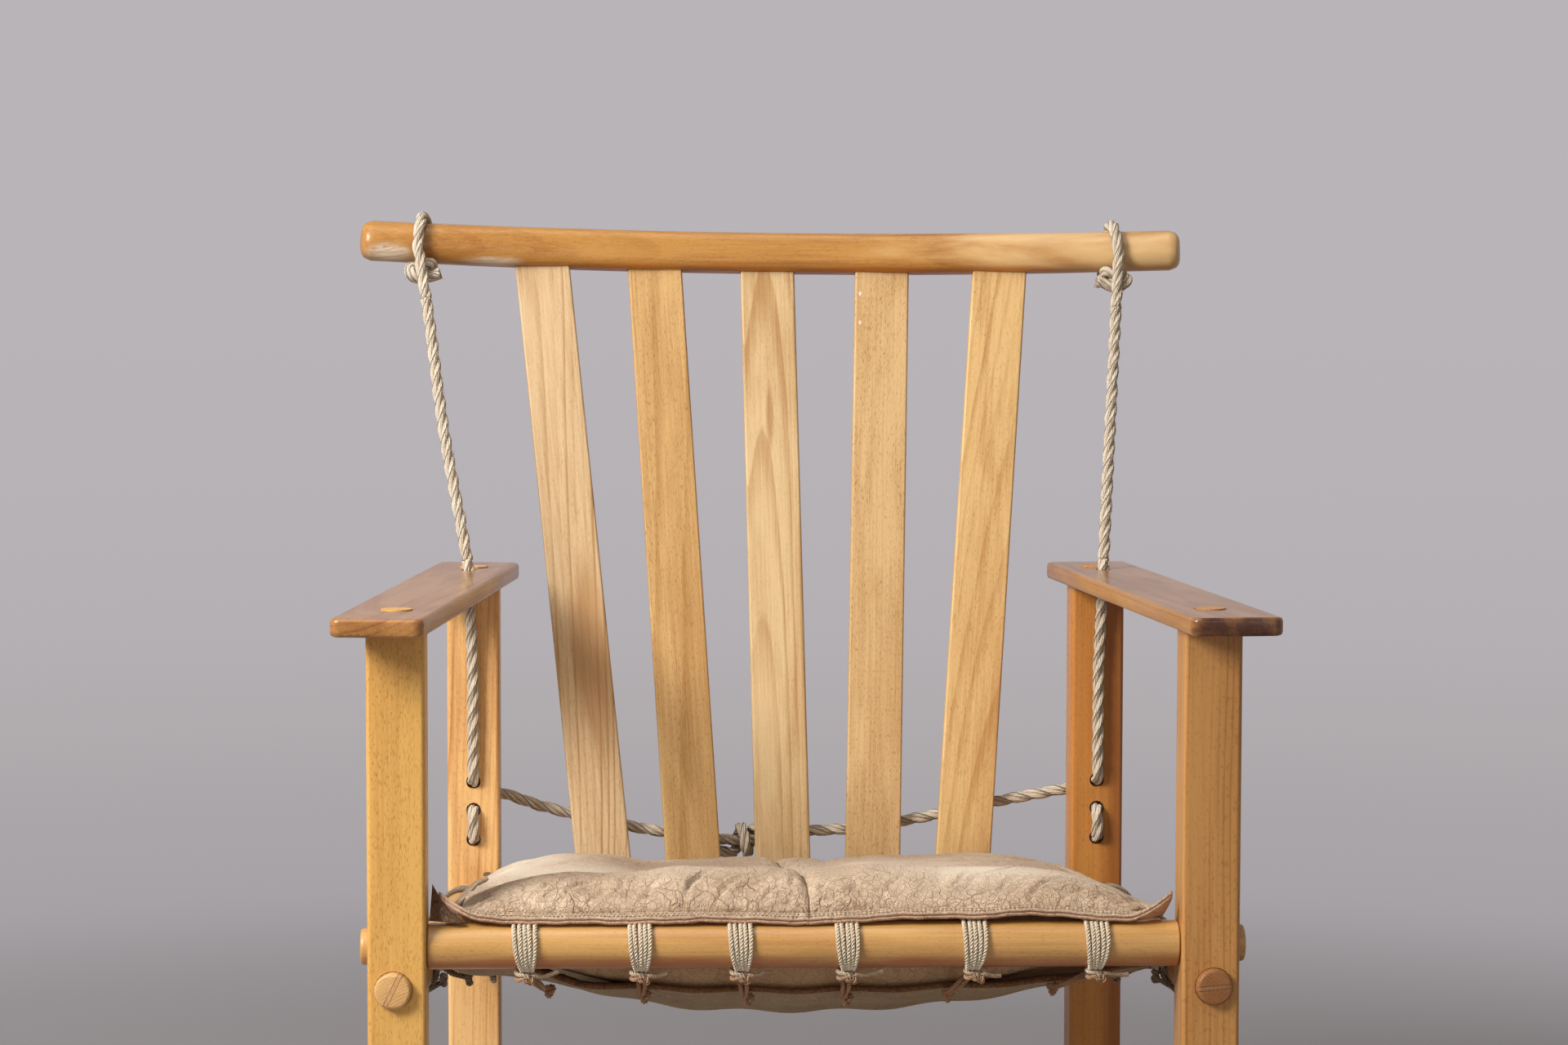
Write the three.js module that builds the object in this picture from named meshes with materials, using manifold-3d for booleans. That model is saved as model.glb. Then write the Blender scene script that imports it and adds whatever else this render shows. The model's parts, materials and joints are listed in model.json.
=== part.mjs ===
// A wooden armchair. Four posts, round rails and two flat armrests carry a laced leather seat.
// A fan of slats under a bowed crest rail turns in the rear posts and leans back on two ropes.
// Millimetres, +Z up, the front faces -Y, and left is -X.
import * as THREE from "three";
import { mergeVertices } from "three/addons/utils/BufferGeometryUtils.js";
import Module from "manifold-3d";

const wasm = await Module();
wasm.setup();

// Posts: distances run from the mid plane and from the front posts to the rear posts.
const POST_SIZE = 44;
const POST_ROUNDING = 3.5;
const FRONT_SPREAD = 306;
const REAR_SPREAD = 264;
const DEPTH = 386;

// Armrests
const ARM_TOP = 644.5;
const ARM_THICKNESS = 14;
const ARM_WIDTH = 70;
const ARM_FRONT_REACH = 74;
const ARM_REAR_REACH = 54;
const ARM_OUTSET = 3;
const ARM_CORNER = 8;
const ARM_EDGE = 3;
const ARM_TENON = 24;
const ARM_TENON_PROUD = 0.8;

// Rails, their through tenons and the wedges that spread them
const RAIL = 35;
const RAIL_CHAMFER = 1.5;
const TENON = 28;
const TENON_PROUD = 6;
const TENON_ROUNDING = 2.5;
const TENON_SPACING = 1.5;
const WEDGE_HEAD = 3;
const WEDGE_TIP = 1.2;
const WEDGE_DEPTH = 26;
const SIDE_WEDGE_DEGREES = { left: 26, right: 86, rear: 90 };
const FRONT_RAIL_HEIGHT = 390;
const SIDE_RAIL_HEIGHT = FRONT_RAIL_HEIGHT - TENON - TENON_SPACING;
const REAR_RAIL_HEIGHT = SIDE_RAIL_HEIGHT - TENON - TENON_SPACING;

// Back
const LEAN_DEGREES = 12;
const SLAT_WIDTH = 47;
const SLAT_THICKNESS = 11;
const SLAT_EDGE = 2;
const SLAT_FOOT_SPACING = 74.2;
const SLAT_HOUSING = 12;
const SLAT_HEAD_SPAN = 401;
const SLAT_HEAD_SHARES = [-0.5, -0.255, -0.0085, 0.243, 0.5];
const CREST_LENGTH = 709;
const CREST_HEIGHT = 34.5;
const CREST_DEPTH = 30;
const CREST_BOW = 36;
const CREST_TIP = 9;
const CREST_RISE = 591;
const CREST_SWAY = -9;
const CREST_TILT_DEGREES = 0.6;

// Rope: its holes, counted up from the side rails, its bends and the lifts and bows of its stretches
const ROPE = 10;
const ROPE_HOLE = 12;
const ROPE_HOLE_HEIGHTS = [104, 80, 55];
const ARM_ROPE_HOLE = 13;
const ARM_ROPE_HOLE_GAP = 2.5;
const ROPE_BEND = 6;
const ROPE_BOW = 13;
const ROPE_LIFT = 8;
const ROPE_EASE = 60;
const ROPE_EASE_LENGTH = 84.5;
const HITCH_SHARES = { left: -0.861, right: 0.846 };
const HITCH_START_DEGREES = -15;
const HITCH_TURN_DEGREES = 285;
const HITCH_LENGTH = 50;
const STAY_BOWS = { left: 2.5, right: 0 };

// Lashing cord
const CORD = 3.8;
const CORD_PITCH = 4.3;
const LASHING_INSET = 34;
const FRONT_LASHING_SHARES = [-0.69, -0.407, -0.16, 0.103, 0.418, 0.72];
const REAR_LASHING_SHARES = [-1.5, -0.5, 0.5, 1.5];
const SIDE_LASHING_SHARES = [-0.34, 0, 0.34];

// Seat
const SLING_THICKNESS = 3;
const SLING_HEM_INSET = 28;
const SLING_SIDE_INSET = 30;
const SLING_DROP = 25;
const SLING_FRONT_SLACK = 14;
const SLING_REAR_SLACK = 6;
const SLING_SAG = 24;
const CUSHION_EDGE = 4;
const CUSHION_FRONT_REACH = 9;
const CUSHION_REAR_GAP = 24;
const CUSHION_SIDE_GAP = 22;
const CUSHION_CROWN = 26;
const CUSHION_FALL = 24;
const CUSHION_SEAM = 5;
const CUSHION_EAR = 18;
const CUSHION_EAR_REACH = 10;

// Clearances: between seated pieces, and the overrun of a cut
const SEAT_GAP = 0.3;
const SOFT_GAP = 0.7;
const OVERRUN = 5;

const SIDES = { round: 24, bore: 20, crest: 16, small: 12, eyelet: 6, rope: 8 };
const SEEN_LASHING = { turns: 5, steps: 10, sides: 5 };
const PLAIN_LASHING = { turns: 4, steps: 7, sides: 4 };
const toe = Math.atan2(FRONT_SPREAD - REAR_SPREAD, DEPTH);
const lean = THREE.MathUtils.degToRad(LEAN_DEGREES);
const vec = (x, y, z) => new THREE.Vector3(x, y, z);

const wood = (color, roughness) => new THREE.MeshStandardMaterial({ color, roughness });
const MATERIALS = {
  frame: wood(0xd9a25c, 0.45),
  arm: wood(0xa9673a, 0.3),
  crest: wood(0xc98a45, 0.4),
  slat: wood(0xe0b377, 0.5),
  wedge: wood(0xb98a55, 0.6),
  rope: wood(0xb8a88c, 0.9),
  cord: wood(0xc9b99b, 0.9),
  sling: wood(0x8d8a78, 0.8),
  cushion: wood(0xcfae93, 0.75),
};

// A closed geometry with merged corners, as a solid that can be joined and cut.
function solid(geometry) {
  const bare = geometry.clone();
  bare.deleteAttribute("normal");
  bare.deleteAttribute("uv");
  const merged = mergeVertices(bare);
  return new wasm.Manifold(
    new wasm.Mesh({
      numProp: 3,
      vertProperties: merged.attributes.position.array,
      triVerts: new Uint32Array(merged.index.array),
    }),
  );
}

function geometryOf(form) {
  const { vertProperties, triVerts } = form.getMesh();
  const geometry = new THREE.BufferGeometry();
  geometry.setAttribute("position", new THREE.BufferAttribute(vertProperties, 3));
  geometry.setIndex(new THREE.BufferAttribute(triVerts, 1));
  geometry.computeVertexNormals();
  return geometry;
}

// The solid of one mesh in the frame of another; both have the same parent.
function solidFor(target, tool) {
  target.updateMatrix();
  tool.updateMatrix();
  const shift = target.matrix.clone().invert().multiply(tool.matrix);
  return solid(tool.geometry.clone().applyMatrix4(shift));
}

function cut(target, tools) {
  const form = tools.reduce((left, tool) => left.subtract(solidFor(target, tool)), solid(target.geometry));
  target.geometry = geometryOf(form);
}

function makeMesh(name, geometry, material) {
  const mesh = new THREE.Mesh(geometry, material);
  mesh.name = name;
  return mesh;
}

// Skins rings of equally many points, fans both ends shut and turns the faces outwards.
function loft(rings) {
  const around = rings[0].length;
  const points = rings.flat();
  const ends = [rings[0], rings.at(-1)].map((ring) =>
    ring.reduce((sum, p) => sum.add(p), vec(0, 0, 0)).divideScalar(around),
  );
  const first = points.length;
  const index = [];
  for (let i = 0; i + 1 < rings.length; i++)
    for (let j = 0; j < around; j++) {
      const a = i * around + j;
      const b = i * around + ((j + 1) % around);
      index.push(a, b, a + around, b, b + around, a + around);
    }
  for (let j = 0; j < around; j++) {
    const k = (j + 1) % around;
    const last = (rings.length - 1) * around;
    index.push(first, k, j, first + 1, last + j, last + k);
  }
  const all = [...points, ...ends];
  const area = vec(0, 0, 0);
  let volume = 0;
  for (let i = 0; i < index.length; i += 3)
    volume += all[index[i]].dot(area.crossVectors(all[index[i + 1]], all[index[i + 2]]));
  if (volume < 0) index.reverse();
  const geometry = new THREE.BufferGeometry().setFromPoints(all);
  geometry.setIndex(index);
  geometry.computeVertexNormals();
  return geometry;
}

// A closed tube through points, its rings carried along without twist.
function tube(points, diameter, sides) {
  const normal = vec(0, 0, 1);
  const along = vec(0, 0, 0);
  const rings = points.map((point, i) => {
    const before = points[Math.max(i - 1, 0)];
    const after = points[Math.min(i + 1, points.length - 1)];
    const way = along.subVectors(after, before).normalize();
    if (i === 0 && Math.abs(way.dot(normal)) > Math.SQRT1_2) normal.set(1, 0, 0);
    normal.addScaledVector(way, -normal.dot(way)).normalize();
    const across = vec(0, 0, 0).crossVectors(way, normal);
    return Array.from({ length: sides }, (_, j) => {
      const turn = (2 * Math.PI * j) / sides;
      return point
        .clone()
        .addScaledVector(normal, (Math.cos(turn) * diameter) / 2)
        .addScaledVector(across, (Math.sin(turn) * diameter) / 2);
    });
  });
  return loft(rings);
}

// A route with its corners rounded to arcs; each corner may carry its own bend as .bend.
function rounded(corners, bend, turnStep = Math.PI / 6) {
  const route = [corners[0].clone()];
  corners.slice(1, -1).forEach((corner, i) => {
    const back = vec(0, 0, 0).subVectors(corners[i], corner);
    const on = vec(0, 0, 0).subVectors(corners[i + 2], corner);
    const room = Math.min(back.length(), on.length()) / 2;
    const turn = Math.PI - back.angleTo(on);
    const radius = Math.min(corner.bend ?? bend, room / Math.tan(turn / 2));
    const reach = radius * Math.tan(turn / 2);
    const start = corner.clone().addScaledVector(back.normalize(), reach);
    const end = corner.clone().addScaledVector(on.normalize(), reach);
    const middle = back.add(on).normalize();
    const centre = corner.clone().addScaledVector(middle, radius / Math.cos(turn / 2));
    const steps = Math.max(1, Math.ceil(turn / turnStep));
    for (let k = 0; k <= steps; k++) {
      const from = Math.sin(turn * (1 - k / steps)) / Math.sin(turn);
      const to = Math.sin((turn * k) / steps) / Math.sin(turn);
      const spoke = start.clone().sub(centre).multiplyScalar(from);
      route.push(spoke.addScaledVector(end.clone().sub(centre), to).add(centre));
    }
  });
  return [...route, corners.at(-1).clone()];
}

// The least gap of a cord to itself, between marks further apart along it than three diameters.
function leastGap(points, diameter) {
  const marks = [{ at: points[0], run: 0 }];
  points.slice(1).forEach((point, i) => {
    const step = point.distanceTo(points[i]);
    const start = marks.at(-1).run;
    const parts = Math.ceil((2 * step) / diameter);
    for (let k = 1; k <= parts; k++)
      marks.push({ at: points[i].clone().lerp(point, k / parts), run: start + (step * k) / parts });
  });
  let least = Infinity;
  marks.forEach((a, i) =>
    marks.slice(i + 1).forEach((b) => {
      if (b.run - a.run > 3 * diameter) least = Math.min(least, a.at.distanceTo(b.at));
    }),
  );
  return least - diameter;
}

function report(name, points, diameter) {
  let length = 0;
  for (let i = 1; i < points.length; i++) length += points[i].distanceTo(points[i - 1]);
  const least = leastGap(points, diameter).toFixed(2);
  console.log(`${name}: ${length.toFixed(0)} mm long, least gap to itself ${least} mm`);
}

function roundedOutline(width, height, rounding) {
  const x = width / 2 - rounding;
  const y = height / 2 - rounding;
  const shape = new THREE.Shape();
  shape.absarc(x, y, rounding, 0, Math.PI / 2);
  shape.absarc(-x, y, rounding, Math.PI / 2, Math.PI);
  shape.absarc(-x, -y, rounding, Math.PI, (3 * Math.PI) / 2);
  shape.absarc(x, -y, rounding, (3 * Math.PI) / 2, 2 * Math.PI);
  return shape;
}

// A bar along +Z from zero with rounded long edges.
function bar(width, height, rounding, length) {
  const options = { depth: length, bevelEnabled: false, curveSegments: 2 };
  return new THREE.ExtrudeGeometry(roundedOutline(width, height, rounding), options);
}

// A round cutter along Y whose flats clear the diameter.
function borer(diameter, length, sides = SIDES.bore) {
  const radius = diameter / 2 / Math.cos(Math.PI / sides);
  return new THREE.Mesh(new THREE.CylinderGeometry(radius, radius, length, sides));
}

// Posts

function makePost(name, x, y) {
  const shoulder = ARM_TOP - ARM_THICKNESS - SEAT_GAP;
  const tenonEnd = ARM_TOP + ARM_TENON_PROUD;
  const tenonLength = tenonEnd - shoulder + OVERRUN;
  const tenon = new THREE.CylinderGeometry(ARM_TENON / 2, ARM_TENON / 2, tenonLength, SIDES.bore);
  tenon.rotateX(Math.PI / 2).translate(0, 0, tenonEnd - tenonLength / 2);
  const stock = solid(bar(POST_SIZE, POST_SIZE, POST_ROUNDING, shoulder));
  const mesh = makeMesh(name, geometryOf(stock.add(solid(tenon))), MATERIALS.frame);
  mesh.position.set(x, y, 0);
  return mesh;
}

// Armrests

function makeArmrest(name, side) {
  const length = ARM_FRONT_REACH + (DEPTH + ARM_REAR_REACH) / Math.cos(toe);
  const board = new THREE.ExtrudeGeometry(roundedOutline(ARM_WIDTH, length, ARM_CORNER), {
    depth: ARM_THICKNESS - 2 * ARM_EDGE,
    bevelThickness: ARM_EDGE,
    bevelSize: ARM_EDGE,
    bevelOffset: -ARM_EDGE,
    bevelSegments: 2,
    curveSegments: 3,
  });
  board.translate(0, length / 2 - ARM_FRONT_REACH, ARM_EDGE);
  const mesh = makeMesh(name, board, MATERIALS.arm);
  mesh.position.set(side * (FRONT_SPREAD + ARM_OUTSET), 0, ARM_TOP - ARM_THICKNESS);
  mesh.rotation.z = side * toe;
  return mesh;
}

// Rails: turned along Y about their middle

function railProfile(bodyLength, tenonLength) {
  const end = bodyLength / 2 + tenonLength;
  const tenon = TENON / 2;
  const soft = TENON_ROUNDING;
  const half = [
    [tenon - soft, end],
    [tenon - soft * (1 - Math.SQRT1_2), end - soft * (1 - Math.SQRT1_2)],
    [tenon, end - soft],
    [tenon, bodyLength / 2],
    [RAIL / 2 - RAIL_CHAMFER, bodyLength / 2],
    [RAIL / 2, bodyLength / 2 - RAIL_CHAMFER],
  ];
  const low = half.map(([r, y]) => new THREE.Vector2(r, -y));
  const high = half.map(([r, y]) => new THREE.Vector2(r, y)).reverse();
  return [new THREE.Vector2(0, -end), ...low, ...high, new THREE.Vector2(0, end)];
}

// A tapered plate that enters a rail end from y = 0 down; more grows it on both faces.
function plate(more, above) {
  const slope = (WEDGE_HEAD - WEDGE_TIP) / 2 / WEDGE_DEPTH;
  const shape = new THREE.Shape();
  shape.moveTo(-WEDGE_HEAD / 2 - more - slope * above, above);
  shape.lineTo(-WEDGE_TIP / 2 - more, -WEDGE_DEPTH - more);
  shape.lineTo(WEDGE_TIP / 2 + more, -WEDGE_DEPTH - more);
  shape.lineTo(WEDGE_HEAD / 2 + more + slope * above, above);
  const width = TENON + 2 * OVERRUN;
  const geometry = new THREE.ExtrudeGeometry(shape, { depth: width, bevelEnabled: false });
  return geometry.translate(0, 0, -width / 2);
}

// A rail with a kerf and a wedge in each end; turns are the wedges' angles about the rail.
function makeRail(name, bodyLength, tenonLength, ends, turns) {
  const group = new THREE.Group();
  const turned = new THREE.LatheGeometry(railProfile(bodyLength, tenonLength), SIDES.round);
  const form = solid(turned);
  const rail = makeMesh(name, turned, MATERIALS.frame);
  const kerfs = ends.map((end, i) => {
    const flip = i ? 0 : Math.PI;
    const place = (geometry) =>
      geometry
        .translate(0, bodyLength / 2 + tenonLength, 0)
        .rotateZ(flip)
        .rotateY(turns[i]);
    const wedge = solid(place(plate(0, 0))).intersect(form);
    group.add(makeMesh(`${name}_wedge_${end}`, geometryOf(wedge), MATERIALS.wedge));
    return new THREE.Mesh(place(plate(SEAT_GAP, OVERRUN)));
  });
  cut(rail, kerfs);
  group.add(rail);
  return group;
}

// Crest rail: x runs along it, its ends come forward, and its section turns from flat to round

// The middle is flat-faced up to the first share of the half length and the ends round from the second.
const CREST_FLAT_SHARES = [0.45, 0.95];
const CREST_END_SHARE = 0.35;
const CREST_POWERS = { middle: 3.8, end: 2.1 };

const crestBow = (share) => -CREST_BOW * share * share;

function crestSection(share) {
  const flat = 1 - THREE.MathUtils.smoothstep(Math.abs(share), ...CREST_FLAT_SHARES);
  const thinning = (CREST_HEIGHT - CREST_DEPTH) * THREE.MathUtils.lerp(CREST_END_SHARE, 1, flat);
  return {
    depth: (CREST_HEIGHT - thinning) / 2,
    height: CREST_HEIGHT / 2,
    power: 2 / THREE.MathUtils.lerp(CREST_POWERS.end, CREST_POWERS.middle, flat),
  };
}

function makeCrest() {
  const bodyShares = [-1, -0.87, -0.74, -0.58, -0.4, -0.2, 0, 0.2, 0.4, 0.58, 0.74, 0.87, 1];
  const tipShares = [1, 0.75, 0.4, 0.1];
  const body = bodyShares.map((s) => ({ x: (s * (CREST_LENGTH - 2 * CREST_TIP)) / 2, inset: 0 }));
  const tips = tipShares.map((t) => ({
    x: CREST_LENGTH / 2 - CREST_TIP + CREST_TIP * Math.sqrt(1 - t * t),
    inset: CREST_TIP * (1 - t),
  }));
  const right = tips.slice(1);
  const left = right.map(({ x, inset }) => ({ x: -x, inset })).reverse();
  const rings = [...left, ...body, ...right].map(({ x, inset }) => {
    const share = (2 * x) / CREST_LENGTH;
    const slope = Math.atan2(2 * crestBow(share), x);
    const { depth, height, power } = crestSection(share);
    return Array.from({ length: SIDES.crest }, (_, j) => {
      const turn = (2 * Math.PI * (j + 1 / 2)) / SIDES.crest;
      const bulge = (value) => Math.sign(value) * Math.abs(value) ** power;
      const y = (depth - inset) * bulge(Math.cos(turn));
      const z = (height - inset) * bulge(Math.sin(turn));
      const swing = share ? slope - (share < 0 ? Math.PI : 0) : 0;
      return vec(x - y * Math.sin(swing), crestBow(share) + y * Math.cos(swing), z);
    });
  });
  const mesh = makeMesh("crest_rail", loft(rings), MATERIALS.crest);
  mesh.position.set(CREST_SWAY, 0, CREST_RISE);
  mesh.rotation.y = THREE.MathUtils.degToRad(CREST_TILT_DEGREES);
  return mesh;
}

// A point on the crest rail's centre line, in the frame of the back.
function onCrest(share) {
  const point = vec((share * CREST_LENGTH) / 2, crestBow(share), 0);
  point.applyAxisAngle(vec(0, 1, 0), THREE.MathUtils.degToRad(CREST_TILT_DEGREES));
  return point.add(vec(CREST_SWAY, 0, CREST_RISE));
}

// Slats: straight from the rear rail to the crest rail; more is a cutter's clearance

function makeSlat(name, number, more) {
  const headX = SLAT_HEAD_SHARES[number] * SLAT_HEAD_SPAN;
  const head = onCrest((2 * headX) / CREST_LENGTH);
  const foot = vec((number - (SLAT_HEAD_SHARES.length - 1) / 2) * SLAT_FOOT_SPACING, 0, 0);
  const way = head.clone().sub(foot);
  const footDepth = RAIL / 2 - SLAT_HOUSING - more;
  const headDepth = CREST_HEIGHT / 2 - SLAT_HOUSING - more;
  const length = way.length() - footDepth - headDepth;
  way.normalize();
  const across = vec(0, 1, 0).cross(way).normalize();
  const face = way.clone().cross(across);
  const cutter = new THREE.BoxGeometry(SLAT_WIDTH + 2 * more, SLAT_THICKNESS + 2 * more, length);
  cutter.translate(0, 0, length / 2);
  const body = more ? cutter : bar(SLAT_WIDTH, SLAT_THICKNESS, SLAT_EDGE, length);
  const mesh = makeMesh(name, body, MATERIALS.slat);
  mesh.quaternion.setFromRotationMatrix(new THREE.Matrix4().makeBasis(across, face, way));
  mesh.position.copy(foot).addScaledVector(way, footDepth);
  return mesh;
}

// Seat: the sling hangs inside the rails; across and along run from -1 and 0 to 1

const seatFront = SLING_HEM_INSET;
const seatRear = DEPTH - SLING_HEM_INSET;
const SLING_POWER = 0.8;

function railX(y) {
  return FRONT_SPREAD - ((FRONT_SPREAD - REAR_SPREAD) * y) / DEPTH;
}

function slingTop(x, y) {
  const along = (y - seatFront) / (seatRear - seatFront);
  const across = x / (railX(y) - SLING_SIDE_INSET);
  const belly = Math.max(0, 1 - across * across);
  const front = FRONT_RAIL_HEIGHT - SLING_DROP - SLING_FRONT_SLACK * belly;
  const rear = REAR_RAIL_HEIGHT - SLING_DROP - SLING_REAR_SLACK * belly;
  const sag = 4 * SLING_SAG * along * (1 - along) * belly ** SLING_POWER;
  return front + (rear - front) * along - sag;
}

function makeSling() {
  const columns = 16;
  const rows = 7;
  const rings = Array.from({ length: columns + 1 }, (_, i) => {
    const across = (2 * i) / columns - 1;
    const row = (drop) =>
      Array.from({ length: rows + 1 }, (_, j) => {
        const y = seatFront + ((seatRear - seatFront) * j) / rows;
        const x = across * (railX(y) - SLING_SIDE_INSET);
        return vec(x, y, slingTop(x, y) - drop);
      });
    return [...row(0), ...row(SLING_THICKNESS).reverse()];
  });
  return makeMesh("seat_sling", loft(rings), MATERIALS.sling);
}

// Cushion: a ring of points front to back over the top and back under it, lofted across.
// Each top entry is a share of the depth and of the crown, each bottom entry of the depth and of the fall.

const CUSHION_ACROSS_SHARES = [0, 0.04, 0.11, 0.25, 0.45, 0.62, 0.77, 0.88, 0.95, 0.985, 1];
const CUSHION_NAPE_SHARES = [0.97, 0.55, 0.18, 0];
const CUSHION_SEAM_SHARE = 0.1;
const CUSHION_CORNER_SHARE = 0.88;
const CUSHION_POWERS = { plan: 3, rim: 0.6 };
const CUSHION_TOP_SHARES = [
  [0, 0], [0.035, 0.3], [0.09, 0.75], [0.17, 1], [0.28, 0.95], [0.42, 0.78],
  [0.58, 0.66], [0.74, 0.6], [0.87, 0.5], [0.95, 0.3], [1, 0],
];
const CUSHION_BOTTOM_SHARES = [
  [1, 0], [0.97, 0.35], [0.92, 0.8], [0.82, 1], [0.7, 1], [0.57, 1], [0.44, 1], [0.31, 1], [0.2, 1],
];

function makeCushion() {
  const front = -CUSHION_FRONT_REACH;
  const depth = DEPTH - CUSHION_REAR_GAP - front;
  const lashed = windingRadius(SEEN_LASHING.steps) + CORD / 2 + SOFT_GAP;
  const edgeFront = FRONT_RAIL_HEIGHT + lashed + CUSHION_EDGE / 2;
  const edgeAt = (y) => edgeFront - (CUSHION_FALL * Math.max(0, y)) / DEPTH;
  const behind = lashed + SOFT_GAP + CORD;
  const nape = [behind + CORD, behind + CORD / 2, behind, behind / 2];
  const half = CUSHION_ACROSS_SHARES.slice(1);
  const rings = [...half.map((share) => -share).reverse(), ...CUSHION_ACROSS_SHARES].map((share) => {
    const full = (1 - Math.abs(share) ** CUSHION_POWERS.plan) ** CUSHION_POWERS.rim;
    const corner = THREE.MathUtils.smoothstep(Math.abs(share), CUSHION_CORNER_SHARE, 1);
    const seam = CUSHION_SEAM * (1 - THREE.MathUtils.smoothstep(Math.abs(share), 0, CUSHION_SEAM_SHARE));
    const at = (y, z, lift) => {
      const ear = corner * (1 - THREE.MathUtils.smoothstep(y, 0, RAIL));
      const width = railX(y) - RAIL / 2 - CUSHION_SIDE_GAP + CUSHION_EAR_REACH * ear;
      return vec(share * width, y, z + lift + CUSHION_EAR * ear);
    };
    const top = CUSHION_TOP_SHARES.map(([deep, high]) => {
      const y = front + deep * depth;
      const crown = Math.max(0, CUSHION_CROWN * full - seam) * high;
      return at(y, edgeAt(y) + crown, CUSHION_EDGE / 2);
    });
    const under = (y, low) => {
      const x = share * (railX(y) - RAIL / 2 - CUSHION_SIDE_GAP);
      const inside = Math.min(seatRear, Math.max(seatFront, y));
      const room = edgeAt(y) - slingTop(x, inside) - SOFT_GAP - CUSHION_EDGE / 2;
      return at(y, edgeAt(y) - low * full * room, -CUSHION_EDGE / 2);
    };
    const bottom = CUSHION_BOTTOM_SHARES.map(([deep, low]) => under(front + deep * depth, low));
    const lip = nape.map((y, i) => under(y, CUSHION_NAPE_SHARES[i]));
    return [...top, ...bottom, ...lip, at(front, edgeAt(front), -CUSHION_EDGE / 2)];
  });
  return makeMesh("seat_cushion", loft(rings), MATERIALS.cushion);
}

// Lashings: one cord wound round a rail, both ends brought down, one through an eyelet of the sling.
// Local X runs along the rail and Y into the seat.

function windingRadius(steps) {
  return (RAIL / 2 + SEAT_GAP + CORD / 2) / Math.cos(Math.PI / steps);
}

function lashingRoute({ turns, steps }, eyelet) {
  const radius = windingRadius(steps);
  const half = (turns * CORD_PITCH) / 2;
  const below = -radius - CORD - SOFT_GAP;
  const low = Math.min(eyelet.z - 2 * CORD, -radius);
  const winding = Array.from({ length: turns * steps + 1 }, (_, i) => {
    const turn = (2 * Math.PI * i) / steps;
    return vec(-half + (CORD_PITCH * i) / steps, radius * Math.sin(turn), -radius * Math.cos(turn));
  });
  const tail = [
    vec(half + 2 * CORD, -2 * CORD, below),
    vec(0, -2 * CORD, below),
    vec(-half, -2 * CORD, below + CORD / 2),
  ];
  const fall = [
    vec(half, 2 * CORD, -radius),
    vec(CORD, eyelet.y - 2 * CORD, low),
    vec(0, eyelet.y, low),
    vec(0, eyelet.y, eyelet.z),
  ];
  return [...tail, ...winding, ...rounded([winding.at(-1), ...fall], CORD, Math.PI / 2).slice(1)];
}

// Places for the lashings: a point on the rail's axis and the turn of the local frame.
function lashingPlaces() {
  const places = [];
  FRONT_LASHING_SHARES.forEach((share, i) => {
    const at = vec(share * FRONT_SPREAD, 0, FRONT_RAIL_HEIGHT);
    places.push({ name: `lashing_front_${i + 1}`, at, turn: 0, seen: true });
  });
  REAR_LASHING_SHARES.forEach((share, i) => {
    const at = vec(share * SLAT_FOOT_SPACING, DEPTH, REAR_RAIL_HEIGHT);
    places.push({ name: `lashing_rear_${i + 1}`, at, turn: Math.PI });
  });
  for (const [side, word] of [[-1, "left"], [1, "right"]])
    SIDE_LASHING_SHARES.forEach((share, i) => {
      const y = DEPTH * (share + 1 / 2);
      const turn = side * (Math.PI / 2 + toe);
      places.push({ name: `lashing_${word}_${i + 1}`, at: vec(side * railX(y), y, SIDE_RAIL_HEIGHT), turn });
    });
  return places;
}

function makeLashings(sling) {
  const holes = [];
  const meshes = lashingPlaces().map(({ name, at, turn, seen }) => {
    const up = vec(0, 0, 1);
    const hem = vec(0, LASHING_INSET, 0).applyAxisAngle(up, turn).add(at);
    const height = slingTop(hem.x, hem.y) - SLING_THICKNESS / 2;
    const eyelet = vec(0, LASHING_INSET, height - at.z);
    const kind = seen ? SEEN_LASHING : PLAIN_LASHING;
    const route = lashingRoute(kind, eyelet);
    if (name.endsWith("_1")) report(name, route, CORD);
    const mesh = makeMesh(name, tube(route, CORD, kind.sides), MATERIALS.cord);
    mesh.position.copy(at);
    mesh.rotation.z = turn;
    const hole = borer(CORD + 2 * SEAT_GAP, 4 * SLING_THICKNESS, SIDES.eyelet);
    hole.rotation.x = Math.PI / 2;
    hole.position.set(hem.x, hem.y, height);
    holes.push(hole);
    return mesh;
  });
  cut(sling, holes);
  return meshes;
}

// Ropes: route points are chosen by hand, for the left side and the right side.

const ropeHoles = ROPE_HOLE_HEIGHTS.map((height) => SIDE_RAIL_HEIGHT + height);
const ropeFront = DEPTH - POST_SIZE / 2 - ROPE / 2 - SEAT_GAP;
const ropeRear = DEPTH + POST_SIZE / 2 + ROPE / 2 + SEAT_GAP;
const ARM_HOLE = { x: REAR_SPREAD + ARM_OUTSET, y: ropeFront - ARM_ROPE_HOLE_GAP };

// Points behind the back as shares: across in the rear posts' spread, and behind the posts' centres
// and up from the top hole in ropes.
function behind([across, back, up]) {
  return vec(across * REAR_SPREAD, DEPTH + back * ROPE, ropeHoles[0] + up * ROPE);
}

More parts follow.
